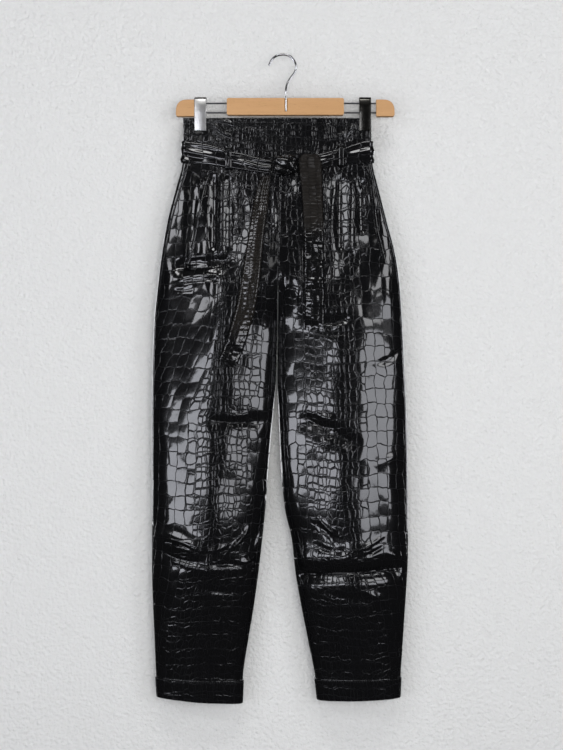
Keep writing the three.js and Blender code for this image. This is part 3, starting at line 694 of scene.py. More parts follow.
def cloth(name, outer, inner, materials, pattern, ringed=False, slot="leather"):
    """The finished piece for a node of cloth: a closed shell between a fine outer grid and a coarser inner
    grid of points. pattern holds the outer points' place among the embossed scales, and how far the strip of
    small scales widens there."""
    rows, columns = outer.shape[:2]
    low_rows, low_columns = inner.shape[:2]
    count = rows * columns
    upper = np.arange(count).reshape(rows, columns)
    lower = count + np.arange(low_rows * low_columns).reshape(low_rows, low_columns)
    faces = grid_faces(rows, columns, 0, ringed, False)
    outer_faces = len(faces)
    faces += grid_faces(low_rows, low_columns, count, ringed, True)
    inner_faces = len(faces) - outer_faces

    def edge(index, way=1):
        line = index.tolist()[::way]
        return line + line[:1] if ringed else line

    faces += zipped(edge(upper[0]), edge(lower[0]))
    faces += zipped(edge(upper[-1], -1), edge(lower[-1], -1))
    if not ringed:
        faces += zipped(edge(upper[:, 0], -1), edge(lower[:, 0], -1))
        faces += zipped(edge(upper[:, -1]), edge(lower[:, -1]))
    points = np.concatenate([outer.reshape(-1, 3), inner.reshape(-1, 3)])
    mesh = shell_mesh(name, points, faces, *materials)
    if len(materials) > 1:
        slots = np.zeros(len(faces), np.int32)
        slots[outer_faces:outer_faces + inner_faces] = 1
        mesh.polygons.foreach_set("material_index", slots)
    set_pattern(mesh, pattern)
    mesh.set_sharp_from_angle(angle=math.radians(SHARP))
    return finish_piece(placed(name + "_cloth", mesh), slot, name)


def set_pattern(mesh, pattern):
    """Writes the scales' coordinates and the strip's widening onto a mesh."""
    across, along, widen = (np.asarray(part, float).reshape(-1) for part in pattern)
    place = np.zeros((len(mesh.vertices), 2))
    place[:len(across), 0] = across
    place[:len(across), 1] = along
    corner = np.empty(len(mesh.loops), np.int32)
    mesh.loops.foreach_get("vertex_index", corner)
    layer = mesh.uv_layers.new(name="scales")
    layer.data.foreach_set("uv", place[corner].reshape(-1).astype(np.float32))
    spread = np.zeros(len(mesh.vertices), np.float32)
    spread[:len(widen)] = widen
    mesh.attributes.new("widen", "FLOAT", "POINT").data.foreach_set("value", spread)


# Node helpers


def feed(tree, made, values):
    """Sets a node's inputs to values, or links them to sockets."""
    for name, value in values.items():
        socket = made.inputs[name]
        if isinstance(value, bpy.types.NodeSocket):
            tree.links.new(value, socket)
        else:
            socket.default_value = value
    return made


def node(tree, kind, values=None, **settings):
    """A node with the given settings and inputs."""
    made = tree.nodes.new(kind)
    for name, value in settings.items():
        setattr(made, name, value)
    return feed(tree, made, values or {})


def maths(tree, operation, *values):
    return node(tree, "ShaderNodeMath", dict(enumerate(values)), operation=operation).outputs[0]


def ramp(tree, value, low, high, start=0.0, end=1.0):
    """A soft step of value from low to high, given out from start to end."""
    made = node(tree, "ShaderNodeMapRange", {
        "Value": value, "From Min": low, "From Max": high, "To Min": start, "To Max": end,
    }, interpolation_type="SMOOTHSTEP")
    return made.outputs["Result"]


def vector_maths(tree, operation, a, b, output="Vector"):
    return node(tree, "ShaderNodeVectorMath", {0: a, 1: b}, operation=operation).outputs[output]


def stretched(tree, vector, size):
    return vector_maths(tree, "MULTIPLY", vector, size)


def axis_of(tree, vector, axis):
    return node(tree, "ShaderNodeSeparateXYZ", {0: vector}).outputs[axis]


def blended(tree, factor, first, second):
    """A colour between two others."""
    made = node(tree, "ShaderNodeMix", {"Factor": factor, "A": first, "B": second}, data_type="RGBA")
    return made.outputs["Result"]


def bumped(tree, height, strength, distance):
    made = node(tree, "ShaderNodeBump", {"Strength": strength, "Distance": distance, "Height": height})
    return made.outputs[0]


def voronoi(tree, vector, feature, randomness):
    return node(tree, "ShaderNodeTexVoronoi", {"Vector": vector, "Scale": 1.0, "Randomness": randomness},
                voronoi_dimensions="2D", feature=feature)


def noise(tree, vector, scale, detail, roughness=0.5):
    made = node(tree, "ShaderNodeTexNoise", {
        "Vector": vector, "Scale": scale, "Detail": detail, "Roughness": roughness,
    }, noise_dimensions="3D")
    return made.outputs["Fac"]


def material_tree(name):
    """A new material with its tree, its shader and the place on the object."""
    material = bpy.data.materials.new(name)
    material.use_nodes = True
    tree = material.node_tree
    return material, tree, tree.nodes["Principled BSDF"], node(tree, "ShaderNodeTexCoord").outputs["Object"]


# The brown of the belt's ends: the dull brown of the right end's upper part, and a painted warm reflection on
# the left end
BROWN_AND_WARM_REFLECTION = (0.0100, 0.0084, 0.0071, 1)


# The half-widths, in scales, within which a scale is medium, small or tiny.
MEDIUM_REACH = 3.3
SMALL_REACH = 2.4
TINY_REACH = -0.6

# How much of a large scale's own tilt and dome shows.
TILT = 4.0
DOME = -1.5
LARGE_RANDOM = 0.26


def scale_edges(tree, place, size, randomness):
    """Distance to the nearest groove between scales of a size."""
    place = stretched(tree, place, (*size, 1))
    return voronoi(tree, place, "DISTANCE_TO_EDGE", randomness).outputs["Distance"]


def scale_relief(tree):
    """Height of the embossing, 0 in the grooves and 1 on the scales, and each scale's tilt and dome."""
    place = node(tree, "ShaderNodeUVMap", uv_map="scales").outputs[0]
    drift = node(tree, "ShaderNodeTexNoise", {"Vector": place, "Scale": 0.9, "Detail": 1.5},
                 noise_dimensions="2D").outputs["Color"]
    drift = vector_maths(tree, "SUBTRACT", drift, (0.5, 0.5, 0.5))
    place = vector_maths(tree, "ADD", place, stretched(tree, drift, (0.5, 0.34, 0)))
    cell = voronoi(tree, place, "F1", LARGE_RANDOM)
    middle = axis_of(tree, cell.outputs["Position"], 0)
    spread = axis_of(tree, cell.outputs["Color"], 0)
    widen = node(tree, "ShaderNodeAttribute", attribute_name="widen").outputs["Fac"]
    bound = maths(tree, "MULTIPLY_ADD", spread, 1.2, maths(tree, "SUBTRACT", widen, 0.6))
    reach = maths(tree, "SUBTRACT", maths(tree, "ABSOLUTE", middle), bound)
    is_medium, is_small, is_tiny = (
        maths(tree, "LESS_THAN", reach, limit) for limit in (MEDIUM_REACH, SMALL_REACH, TINY_REACH))

    from_middle = vector_maths(tree, "SUBTRACT", place, cell.outputs["Position"])
    chance = vector_maths(tree, "SUBTRACT", cell.outputs["Color"], (0.5, 0.5, 0.5))
    tilt = vector_maths(tree, "DOT_PRODUCT", from_middle, chance, "Value")
    dome = vector_maths(tree, "DOT_PRODUCT", from_middle, from_middle, "Value")
    facet = maths(tree, "MULTIPLY_ADD", tilt, TILT, maths(tree, "MULTIPLY", dome, DOME))
    facet = maths(tree, "MULTIPLY", facet, maths(tree, "MULTIPLY_ADD", is_small, -0.5, 1.0))

    large = ramp(tree, voronoi(tree, place, "DISTANCE_TO_EDGE", LARGE_RANDOM).outputs["Distance"], 0.0, 0.05)
    medium = ramp(tree, scale_edges(tree, place, (1.3, 1.35), 0.35), 0.0, 0.10, 0.1)
    small = ramp(tree, scale_edges(tree, place, (1.8, 1.75), 0.5), 0.0, 0.16, 0.30)
    tiny = ramp(tree, scale_edges(tree, place, (3.0, 2.2), 0.6), 0.0, 0.20, 0.5)
    not_medium = maths(tree, "SUBTRACT", 1.0, is_medium)
    large = maths(tree, "MAXIMUM", large, maths(tree, "MULTIPLY", is_medium, 0.35))
    medium = maths(tree, "MAXIMUM", medium, maths(tree, "MAXIMUM", is_small, not_medium))
    small = maths(tree, "MAXIMUM", small, maths(tree, "SUBTRACT", 1.0, is_small))
    tiny = maths(tree, "MAXIMUM", tiny, maths(tree, "SUBTRACT", 1.0, is_tiny))
    broad = maths(tree, "MINIMUM", large, medium)
    return maths(tree, "MINIMUM", broad, maths(tree, "MINIMUM", small, tiny)), facet


def leather(name, top_roughness, base, specular=0.24, depth=0.0003, facets=1.0, brown_above=None, dulled=1.0):
    """Polished black leather with embossed scales, a fine grain and duller grooves. depth is the embossing's
    own and facets the share of each scale's tilt. Above the height brown_above it is browner, and duller by
    dulled; this brown is the dull brown of the right belt end's upper part, and a painted warm reflection on
    the left belt end."""
    material, tree, shader, where = material_tree(name)
    relief, facet = scale_relief(tree)
    grain = noise(tree, where, 520, 2)
    pucker = noise(tree, stretched(tree, where, (1.0, 1.0, 0.5)), 75, 2)
    facet = maths(tree, "MULTIPLY", facet, facets)
    height = maths(tree, "MULTIPLY_ADD", grain, 0.035, maths(tree, "MULTIPLY_ADD", relief, facet, relief))
    bump = bumped(tree, maths(tree, "MULTIPLY_ADD", pucker, 0.22, height), 1.0, depth)
    worn = maths(tree, "MULTIPLY_ADD", noise(tree, where, 45, 3, 0.6), 0.16, top_roughness - 0.08)
    rough = maths(tree, "ADD", worn, ramp(tree, relief, 0.15, 0.9, 0.14, 0.0))
    shine = ramp(tree, relief, 0.2, 1.0)
    groove = tuple(min(1, channel * 1.6) for channel in base)
    tint = blended(tree, relief, (*groove, 1), (*base, 1))
    # Above brown_above the colour turns brown: the dull brown of the right end's upper part, and a painted
    # warm reflection on the left end.
    if brown_above is not None:
        brown = ramp(tree, axis_of(tree, where, 2), brown_above - 0.02, brown_above + 0.02)
        rough = maths(tree, "MULTIPLY_ADD", brown, 0.20 * dulled, rough)
        shine = maths(tree, "MULTIPLY", shine, maths(tree, "MULTIPLY_ADD", brown, -0.92 * dulled, 1.0))
        tint = blended(tree, maths(tree, "MULTIPLY", brown, relief), tint, BROWN_AND_WARM_REFLECTION)
    feed(tree, shader, {
        "Base Color": tint, "Roughness": rough, "Specular IOR Level": specular, "Normal": bump,
        "Coat Weight": shine, "Coat Roughness": 0.055, "Coat Normal": bump,
    })
    return material


def backing_cloth(name):
    """The knitted backing on the inside of the coated cloth."""
    material, tree, shader, where = material_tree(name)
    nap = noise(tree, where, 900, 3, 0.6)
    tint = blended(tree, nap, (0.016, 0.016, 0.017, 1), (0.034, 0.034, 0.036, 1))
    feed(tree, shader, {"Base Color": tint, "Roughness": 0.9, "Normal": bumped(tree, nap, 0.5, 0.0002)})
    return material


def thread_look(name):
    """Dark twisted sewing thread."""
    material, tree, shader, where = material_tree(name)
    tint = blended(tree, noise(tree, where, 1500, 2), (0.010, 0.010, 0.011, 1), (0.05, 0.05, 0.052, 1))
    feed(tree, shader, {"Base Color": tint, "Roughness": 0.55})
    return material


def beech(name):
    """Pale wood with a fine lengthwise grain and short darker flecks, under satin lacquer."""
    material, tree, shader, where = material_tree(name)
    bands = noise(tree, stretched(tree, where, (6, 60, 90)), 1.0, 5, 0.6)
    fibre = noise(tree, stretched(tree, where, (60, 900, 1200)), 1.0, 3, 0.6)
    flecks = noise(tree, stretched(tree, where, (140, 500, 900)), 1.0, 2)
    tone = maths(tree, "MULTIPLY_ADD", fibre, 0.35, maths(tree, "MULTIPLY", bands, 0.75))
    tint = blended(tree, tone, (0.365, 0.196, 0.077, 1), (0.53, 0.304, 0.142, 1))
    tint = blended(tree, ramp(tree, flecks, 0.62, 0.74, 0.0, 0.45), tint, (0.266, 0.141, 0.055, 1))
    feed(tree, shader, {
        "Base Color": tint, "Roughness": maths(tree, "MULTIPLY_ADD", fibre, 0.2, 0.36),
        "Normal": bumped(tree, fibre, 0.35, 0.0002),
    })
    return material


def metal(name, base, roughness, scratches):
    """Bright metal with faint scratches and finger marks."""
    material, tree, shader, where = material_tree(name)
    marks = noise(tree, stretched(tree, where, scratches), 1.0, 3, 0.6)
    tint = blended(tree, marks, (*(channel * 0.86 for channel in base), 1), (*base, 1))
    rough = maths(tree, "MULTIPLY_ADD", marks, 0.14, roughness)
    feed(tree, shader, {"Base Color": tint, "Roughness": rough, "Metallic": 1.0})
    return material


LEATHER = leather("glossy_leather", 0.17, (0.0026, 0.0026, 0.0030))
# The left belt end: its brown above -0.475 is a painted warm reflection.
END_LEATHER = leather("belt_end_leather", 0.19, (0.0026, 0.0026, 0.0029), 0.28, 0.0005, 0.35, -0.475, 0.15)
REVERSE = leather("dull_leather", 0.19, (0.0034, 0.0034, 0.0037), 0.14, 0.0007, 0.7, -0.300)
BACKING = backing_cloth("backing")
THREAD = thread_look("thread")
WOOD = beech("beech")
CHROME = metal("polished_chrome", (0.80, 0.80, 0.81), 0.10, (40, 40, 400))
SATIN = metal("satin_chrome", (0.80, 0.79, 0.77), 0.26, (40, 40, 400))
# A darker copy of the chrome for the right clip: painted shade standing for the darker reflection this clip
# shows.
SHADED_CHROME = metal("chrome_painted_dark", (0.10, 0.097, 0.088), 0.12, (40, 40, 400))
STEEL = metal("steel_rods", (0.15, 0.15, 0.155), 0.22, (30, 900, 900))


def leg_pattern(side, face, z, share, widen=0.0):
    """Place among the scales for points of a leg or waistband panel."""
    along = panel_length(side, face, z, share)
    middle = face_length(side, FRONT, z[:, 0], strip_x[side](z[:, 0]))[:, None]
    if face == BACK:
        along = ring_length(side, "total", z) - along
    x = on_ring(side, z, along, 0, False)[..., 0]
    lean = 0
    if (side, face) == (LEFT, FRONT):
        # Outside the strip of small scales, the columns of large ones spread outward below the hip.
        lean = 0.33 * np.clip(z + 616, 0, 200) * step(-98, -130, x)
    across = (along - middle + lean) / SCALE_WIDTH
    row = z / SCALE_LENGTH + 0.10 * np.sin(0.8 * across + side) + 0.03 * np.sin(z / 47)
    wide = widen + 1.6 * step(-420, -230, z) + 0.9 * step(-880, -960, z)
    return across, row + 3.7 * face + 11.3 * side, np.broadcast_to(wide, across.shape)


def joined(first, second):
    """Grids side by side, pair by pair."""
    return [np.concatenate(pair, axis=1) for pair in zip(first, second)]


def leg_panel(side, face, name, columns, rows):
    """One of the four leg panels, between the waist seam and the lower edge."""
    heights = np.concatenate([
        WAIST_SEAM - np.array([SEAM_GAP / 2, 0.6, 1.2]), np.linspace(WAIST_SEAM - 2.2, HEM + 1.5, rows)])
    z, share = lined(heights, eased(columns))
    width = panel_length(side, face, z, 0) if face == FRONT else ring_length(side, "total", z) * 0.5
    outer = on_panel(side, face, z, share, lip(share, width))
    low_z, low_share = lined(np.linspace(heights[0], heights[-1], rows // 4), np.linspace(0, 1, columns // 4))
    inner = on_panel(side, face, low_z, low_share, -CLOTH)
    return cloth(name, outer, inner, (LEATHER, BACKING), leg_pattern(side, face, z, share))


def band_lip(z):
    """The waistband's rounded top edge and the stitched dip under it."""
    from_top = WAIST_TOP - z
    from_seam = z - WAIST_SEAM
    edge = rounded(from_top, 1.6, 0.9) + rounded(from_seam, LIP_RADIUS, LIP_DEPTH)
    return edge - 0.35 * np.exp(-(((from_top - WAIST_STITCH_DROP) / 1.3) ** 2))


BAND_HEIGHTS = np.concatenate([
    WAIST_TOP - np.array([0, 0.5, 1.1]), np.linspace(WAIST_TOP - 2, WAIST_SEAM + 2, 56),
    WAIST_SEAM + np.array([1.1, 0.6, SEAM_GAP / 2]),
])


def waistband_front(side, name):
    z, share = lined(BAND_HEIGHTS, eased(110))
    outer = on_panel(side, FRONT, z, share, band_lip(z) + lip(share, panel_length(side, FRONT, z, 0)))
    low_z, low_share = lined(np.linspace(WAIST_TOP, BAND_HEIGHTS[-1], 14), np.linspace(0, 1, 28))
    inner = on_panel(side, FRONT, low_z, low_share, -BAND_CLOTH)
    return cloth(name, outer, inner, (LEATHER, BACKING), leg_pattern(side, FRONT, z, share, 6.0))


def waistband_back():
    """The back waistband, in one piece from side seam to side seam."""
    def wall(heights, shares, out):
        z, share = lined(heights, shares)
        depth = band_lip(z) if out == 0 else out
        left, right = (on_panel(side, BACK, z, share, depth) for side in (LEFT, RIGHT))
        return np.concatenate([left[:, :-1], right[:, ::-1]], axis=1)

    shares = np.linspace(0, 1, 120)
    outer = wall(BAND_HEIGHTS, shares, 0)
    inner = wall(np.linspace(WAIST_TOP, BAND_HEIGHTS[-1], 14), np.linspace(0, 1, 31), -BAND_CLOTH)
    left, right = (leg_pattern(side, BACK, *lined(BAND_HEIGHTS, shares), 6.0) for side in (LEFT, RIGHT))
    pattern = joined([part[:, :-1] for part in left], [part[:, ::-1] for part in right])
    return cloth("waistband_back", outer, inner, (LEATHER, BACKING), pattern)


def hem_band(side, name):
    """The turned-up hem round the end of a leg, with its upper edge rounded."""
    def wall(heights, count, out):
        z, shares = lined(heights, np.linspace(0, 1, count))
        depth = np.full(z.shape, out, float)
        if out > LIFT:
            for edge in (HEM_TOP - z, z - HEM):
                depth = depth + rounded(edge, 1.5, 0.9)
            depth = depth - 0.3 * np.exp(-(((HEM_TOP - HEM_STITCH_DROP - z) / 1.0) ** 2))
        front = on_panel(side, FRONT, z, shares[:, ::-1], depth)
        back = on_panel(side, BACK, z, shares[:, 1:], depth)
        return np.concatenate([front, back], axis=1), (z, shares)

    rim = np.array([0, 0.5, 1.0])
    heights = np.concatenate([HEM_TOP - rim, np.linspace(HEM_TOP - 1.8, HEM + 1.8, 22), HEM + rim[::-1]])
    outer, (z, shares) = wall(heights, 110, LIFT + HEM_CLOTH)
    inner, _ = wall([HEM_TOP, (HEM_TOP + HEM) / 2, HEM], 40, LIFT)
    pattern = joined(leg_pattern(side, FRONT, z, shares[:, ::-1]), leg_pattern(side, BACK, z, shares[:, 1:]))
    return cloth(name, outer, inner, (LEATHER,), pattern, ringed=True)


def fly_underlap():
    """The strip of cloth behind the front opening."""
    def wall(rows, columns, depth):
        z, x = lined(np.linspace(WAIST_TOP - 4, FLY_BOTTOM, rows), np.linspace(FLY_LEFT, FLY_RIGHT, columns))
        return on_face(FRONT, x, z, -depth), arrays(x / SCALE_WIDTH, z / SCALE_LENGTH, 6)

    start = BAND_CLOTH + LIFT
    outer, pattern = wall(90, 18, start)
    inner, _ = wall(30, 8, start + FLY_CLOTH)
    return cloth("fly_underlap", outer, inner, (LEATHER,), pattern)


def resting_depth(x, z, reach=7):
    """Depth of the cloth's outermost point close to each place on the front."""
    low = np.full(np.broadcast(x, z).shape, np.inf)
    for dx in (-reach, -reach / 2, 0, reach / 2, reach):
        for dz in (-2 * reach, -reach, 0, reach, 2 * reach):
            low = np.minimum(low, on_face(FRONT, x + dx, z + dz, 0)[..., 1])
    return low


def pocket_edge(word, side):
    """The stitched edge of a slanted pocket."""
    line = smooth_curve(POCKETS[word], "x")
    top, bottom = POCKETS[word][0]["z"], POCKETS[word][-1]["z"]

    def wall(rows, columns, out):
        z, share = lined(np.linspace(top, bottom, rows), np.linspace(0, 1, columns))
        x = line(z) - side * POCKET_STRIP * share
        crown = out * (1.1 - 0.7 * (2 * share - 1) ** 6)
        return np.stack(arrays(x, resting_depth(x, z, 4) - LIFT - crown, z), axis=-1)

    outer = wall(110, 9, 1)
    pattern = (outer[..., 0] / SCALE_WIDTH, outer[..., 2] / SCALE_LENGTH, outer[..., 0] * 0)
    return cloth(f"pocket_edge_{word}", outer, wall(40, 4, 0), (LEATHER,), pattern)


def belt_height(across, along):
    """Height of the belt over the cloth, with lengthwise gathers that wander and fade."""
    wander = 0.9 * np.sin(along / 17) + 0.5 * np.sin(along / 41 + 1)
    broad = np.cos(across * 6.3 + wander)
    narrow = np.cos(across * 13.5 + 1.6 * np.sin(along / 23 + 2) + 0.7) * (0.6 + 0.4 * np.sin(along / 31))
    edge = 1 - 0.5 * np.abs(across) ** 7
    patchy = 0.6 + 0.4 * np.sin(along / 19 + 1.5 * across)
    folds = 0.9 * broad * patchy + 0.3 * narrow * (1 - patchy) + 0.3 * np.cos(across * 3 - along / 11)
    return BELT_LIFT + (BELT_BODY + BELT_RIDGE * folds * (1 - 0.4 * across ** 2)) * edge


def belt_half(side, rows, columns, out):
    """The belt from the knot to the middle of the back, as a grid of points across and along."""
    middle = smooth_curve(BELT[side], "z", "x")
    width = smooth_curve(BELT[side], "width", "x")
    edge = ring_length(side, "edge", BELT_AROUND_Z)
    total = ring_length(side, "total", BELT_AROUND_Z)
    first = BELT[side][0]
    start = face_length(side, FRONT, [first["z"]], [first["x"]])[0]
    across, along = lined(np.linspace(-1, 1, rows), np.linspace(start, total - 0.5, columns))
    x = on_ring(side, BELT_AROUND_Z, along, 0, False)[..., 0]
    front = along < edge
    turn = step(edge - 14, edge, along)
    height = np.where(front, middle(x) * (1 - turn) + BELT_AROUND_Z * turn, BELT_AROUND_Z)
    half = np.where(front, width(x), BELT_AROUND_WIDTH) / 2
    away = belt_height(across, along) if out else np.full((rows, columns), BELT_LIFT)
    points = on_ring(side, height + half * across, along + 0 * across, away, False)
    return points, arrays(across * half / SCALE_WIDTH * 1.3 + 6, along / SCALE_LENGTH + 0 * across, 0)


def belt_band():
    def wall(rows, columns, out):
        (left, left_place), (right, right_place) = (
            belt_half(side, rows, columns, out) for side in (LEFT, RIGHT))
        points = np.concatenate([left, right[:, ::-1]], axis=1)
        return points, joined(left_place, [part[:, ::-1] for part in right_place])

    outer, pattern = wall(33, 400, True)
    inner, _ = wall(7, 80, False)
    return cloth("belt_band", outer, inner, (LEATHER,), pattern)


def blunt(value):
    """A share of -1 to 1 that grows faster near 0, for a boxier knot."""
    return np.sign(value) * np.abs(value) ** 0.72


def knot_relief(x, z, turn):
    """The wraps of the knot: a broad one over the front from upper left to lower right, and its puckers."""
    over = 0.52 * x + 0.85 * z
    along = 0.85 * x - 0.52 * z
    bowed = over - 0.14 + 0.18 * along * along
    wrap = np.exp(-((bowed / 0.34) ** 4)) * 0.14
    under = -0.16 * np.exp(-(((bowed + 0.46) / 0.09) ** 2)) - 0.14 * np.exp(-(((bowed - 0.47) / 0.08) ** 2))
    corner = -0.14 * np.exp(-(((along - 0.72) / 0.10) ** 2))
    pleats = 0.032 * np.cos(15 * bowed + 1.8 * along) * (0.5 + 0.5 * np.abs(along))
    return wrap + under + corner + pleats + 0.012 * np.cos(7 * turn)


def belt_knot():
    """The knot as one blunt solid with the wraps of the strip on it."""
    middle = on_face(FRONT, [KNOT["x"]], [KNOT["z"]], 0, False)
    seat = float(middle[0, 1]) - KNOT["behind"] - 1
    rise = np.linspace(math.pi / 2 - 0.02, -math.pi / 2 + 0.02, 60)[:, None]
    turn = np.linspace(-math.pi, math.pi, 121)[None, :-1]
    ux, uy, uz = np.cos(rise) * np.sin(turn), np.cos(rise) * np.cos(turn), np.sin(rise) + 0 * turn
    relief = knot_relief(ux, uz, turn) * np.where(uy > 0, 1, 0.3)
    depth = np.where(uy > 0, KNOT["forward"], KNOT["behind"])
    points = np.stack([
        KNOT["x"] + blunt(ux) * KNOT["half_width"] * (1 + 0.6 * relief),
        seat - blunt(uy) * depth * (1 + 1.3 * relief),
        KNOT["z"] + blunt(uz) * KNOT["half_height"] * (1 + 0.5 * relief),
    ], axis=-1)
    mesh = shell_mesh("belt_knot", points, closed_rings(*points.shape[:2]), LEATHER)
    set_pattern(mesh, (turn * 1.6 + 0 * rise + 6, uz * 1.2, 0 * uz))
    return finish_piece(placed("belt_knot_cloth", mesh), "leather", "belt_knot")


def tail_end(word, across):
    """How far the slanted lower end runs past the last row, across the width."""
    if word == "left":
        return np.interp(across, [-1, 0.3, 1], [11, -8, 1.5])
    return np.interp(across, [-1, 1], [1.5, -1.5])


def tail_gathers(word, across, z):
    """Lengthwise gathers of a free end, strongest close to the knot, and the small folds lower down."""
    if word == "left":
        strength = 1.4 * (1 - step(-215, -300, z)) + 0.15
        folded = 1.2 * step(-480, -495, z) * np.sin(z / 4.2 + 1.6 * across)
        return strength * np.cos(8.5 * across + 0.6 * np.sin(z / 23)) + folded
    strength = 0.5 * (1 - step(-180, -260, z)) + 0.15
    rippled = 0.9 * step(-300, -330, z) * np.sin(z / 4.9 + 1.3 * across)
    return strength * np.cos(4.2 * across + 0.8 * np.sin(z / 37) + 0.6) + rippled


# The rows of scales on the belt's free ends, counted down from the knot, and how far each row bulges.
TAIL_ROWS = {
    "left": table("z row bulge", [(-200, 0, 0.10), (-300, 18, 0.14), (-380, 32, 0.30), (-540, 50, 0.36)]),
    "right": table("z row bulge", [(-170, 0, 0.26), (-315, 25, 0.32), (-480, 41, 0.22)]),
}


def tail_rows(word, level):
    """Number of the row of scales at a level, and the height of its bulge."""
    rows = TAIL_ROWS[word]
    place = [-row["z"] for row in rows]
    number, bulge = (np.interp(-level, place, [row[column] for row in rows]) for column in ("row", "bulge"))
    return number, bulge * (np.abs(np.sin(math.pi * (number - 0.63))) - 0.5)


def belt_tail(word, over_band, material, slot):
    """A free end of the belt. It crosses over the band or else hangs from the knot and stands off the leg."""
    rows = TAILS[word]
    middle = smooth_curve(rows, "x")
    width = smooth_curve(rows, "width")
    top, bottom = rows[0]["z"], rows[-1]["z"]
    crossing = BELT_LIFT + BELT_BODY + BELT_RIDGE

    def wall(count, columns, out):
        level, across = lined(np.linspace(top, bottom, count), np.linspace(-1, 1, columns))
        z = level + tail_end(word, across) * step(bottom + 30, bottom, level)
        round_top = np.sqrt(1 - (1 - np.clip((top - level) / 16, 0, 1)) ** 2) if over_band else 1
        x = middle(level) + across * width(level) / 2 * (0.5 + 0.5 * round_top)
        over = crossing * (1 - step(-206, -240, z)) if over_band else 3.2 * step(-230, -320, z)
        crown = TAIL_CROWN * (1 + 1.8 * step(-290, -330, z) if over_band else 2.6)
        body = TAIL_BODY + crown * (1 - across ** 2) + tail_gathers(word, across, z) * (1 - across ** 8)
        body = body + 0.55 * np.exp(-(((np.abs(across) - 0.84) / 0.09) ** 2))
        body = (body + tail_rows(word, level)[1]) * (1 - 0.5 * np.abs(across) ** 14)
        y = resting_depth(x, z) - LIFT - over - out * body
        place = across * width(level) / 2 / TAIL_SCALE + 40
        return np.stack(arrays(x, y, z), axis=-1), arrays(place, tail_rows(word, level)[0], 0)

    outer, pattern = wall(300, 25, 1)
    inner, _ = wall(75, 7, 0)
    return cloth(f"belt_tail_{word}", outer, inner, (material,), pattern, slot=slot)


def belt_loop(row):
    """A belt loop: foot, over the belt, foot."""
    upper, lower, width = row["upper"], row["lower"], row["width"]
    top = BELT_LIFT + BELT_BODY + BELT_RIDGE + 0.6
    path = np.array([
        (upper + LOOP_FOOT, LIFT), (upper, LIFT), (upper - 1, top * 0.6), (upper - 4, top),
        ((upper + lower) / 2, top),
        (lower + 4, top), (lower + 1, top * 0.6), (lower, LIFT), (lower - LOOP_FOOT, LIFT),
    ])
    run = run_length(path)

    def wall(rows, columns, out):
        at, share = lined(np.linspace(0, run[-1], rows), np.linspace(-1, 1, columns))
        z, lift = (np.interp(at, run, path[:, axis]) for axis in (0, 1))
        crown = out * LOOP_CLOTH * (1 + 0.15 * (1 - share ** 2) - 0.5 * np.abs(share) ** 10)
        return on_face(row["face"], row["x"] + share * width / 2, z, lift + crown, False)

    outer = wall(60, 11, 1)
    pattern = (outer[..., 0] / SCALE_WIDTH + 6, outer[..., 2] / SCALE_LENGTH, outer[..., 0] * 0)
    return cloth(row["name"], outer, wall(24, 5, 0), (LEATHER,), pattern)


def stitching(name, line):
    """A row of stitches along a line on the cloth. line(out) gives the line's points, moved out by out."""
    low, high = line(0.0).reshape(-1, 3), line(1.0).reshape(-1, 3)
    run = run_length(low)

    def at(points, place):
        return np.stack([np.interp(place, run, points[:, axis]) for axis in range(3)], axis=-1)

    points, faces = [], []
    for start in np.arange(1.0, run[-1] - STITCH, STITCH_PITCH):
        first, last = at(low, start), at(low, start + STITCH)
        along = (last - first) / np.linalg.norm(last - first)
        up = at(high, start + STITCH / 2) - at(low, start + STITCH / 2)
        across = np.cross(up, along)
        across *= THREAD_WIDTH / 2 / np.linalg.norm(across)
        up *= THREAD_WIDTH / 2 / np.linalg.norm(up)
        base = len(points)
        points.append(first - 0.6 * up)
        for place in (0.22, 0.78):
            middle = at(low, start + STITCH * place) + 0.5 * up
            points += [middle + across, middle + up, middle - across, middle - up]
        points.append(last - 0.6 * up)
        for i in range(4):
            k = (i + 1) % 4
            faces.append((base, base + 1 + k, base + 1 + i))
            faces.append((base + 1 + i, base + 1 + k, base + 5 + k, base + 5 + i))
            faces.append((base + 5 + i, base + 5 + k, base + 9))
    return finish_piece(placed(name, shell_mesh(name, points, faces, THREAD)), "leather")


def waist_stitching(side, face, word):
    z, shares = lined([WAIST_TOP - WAIST_STITCH_DROP], np.linspace(0.01, 0.985, 160))
    return stitching(f"waist_stitching_{word}", lambda out: on_panel(side, face, z, shares, out - 0.3))


def hem_stitching(side, word):
    z, shares = lined([HEM_TOP - HEM_STITCH_DROP], np.linspace(0, 1, 120))

    def line(out):
        depth = LIFT + HEM_CLOTH - 0.25 + out
        front = on_panel(side, FRONT, z, shares[:, ::-1], depth)
        return np.concatenate([front, on_panel(side, BACK, z, shares[:, 1:], depth)], axis=1)

    return stitching(f"hem_stitching_{word}", line)


def pocket_stitching(word, side):
    middle = smooth_curve(POCKETS[word], "x")
    z = np.linspace(POCKETS[word][0]["z"] - 2, POCKETS[word][-1]["z"] + 2, 160)
    x = middle(z) - side * POCKET_STRIP * 0.72

    def line(out):
        return np.stack([x, resting_depth(x, z, 4) - LIFT - 1.0 - out, z], axis=-1)

    return stitching(f"pocket_stitching_{word}", line)


def copied(name):
    """A new object with a copy of a CAD node's mesh, its flat faces whole again."""
    source = bpy.data.objects[name]
    mesh = source.data.copy()
    mesh.name = name + "_finished"
    mesh.materials.clear()
    work = bmesh.new()
    work.from_mesh(mesh)
    bmesh.ops.remove_doubles(work, verts=work.verts, dist=1e-6)
    bmesh.ops.dissolve_limit(work, angle_limit=math.radians(1.5), verts=work.verts, edges=work.edges)
    work.to_mesh(mesh)
    work.free()
    return placed(name + "_finished", mesh)


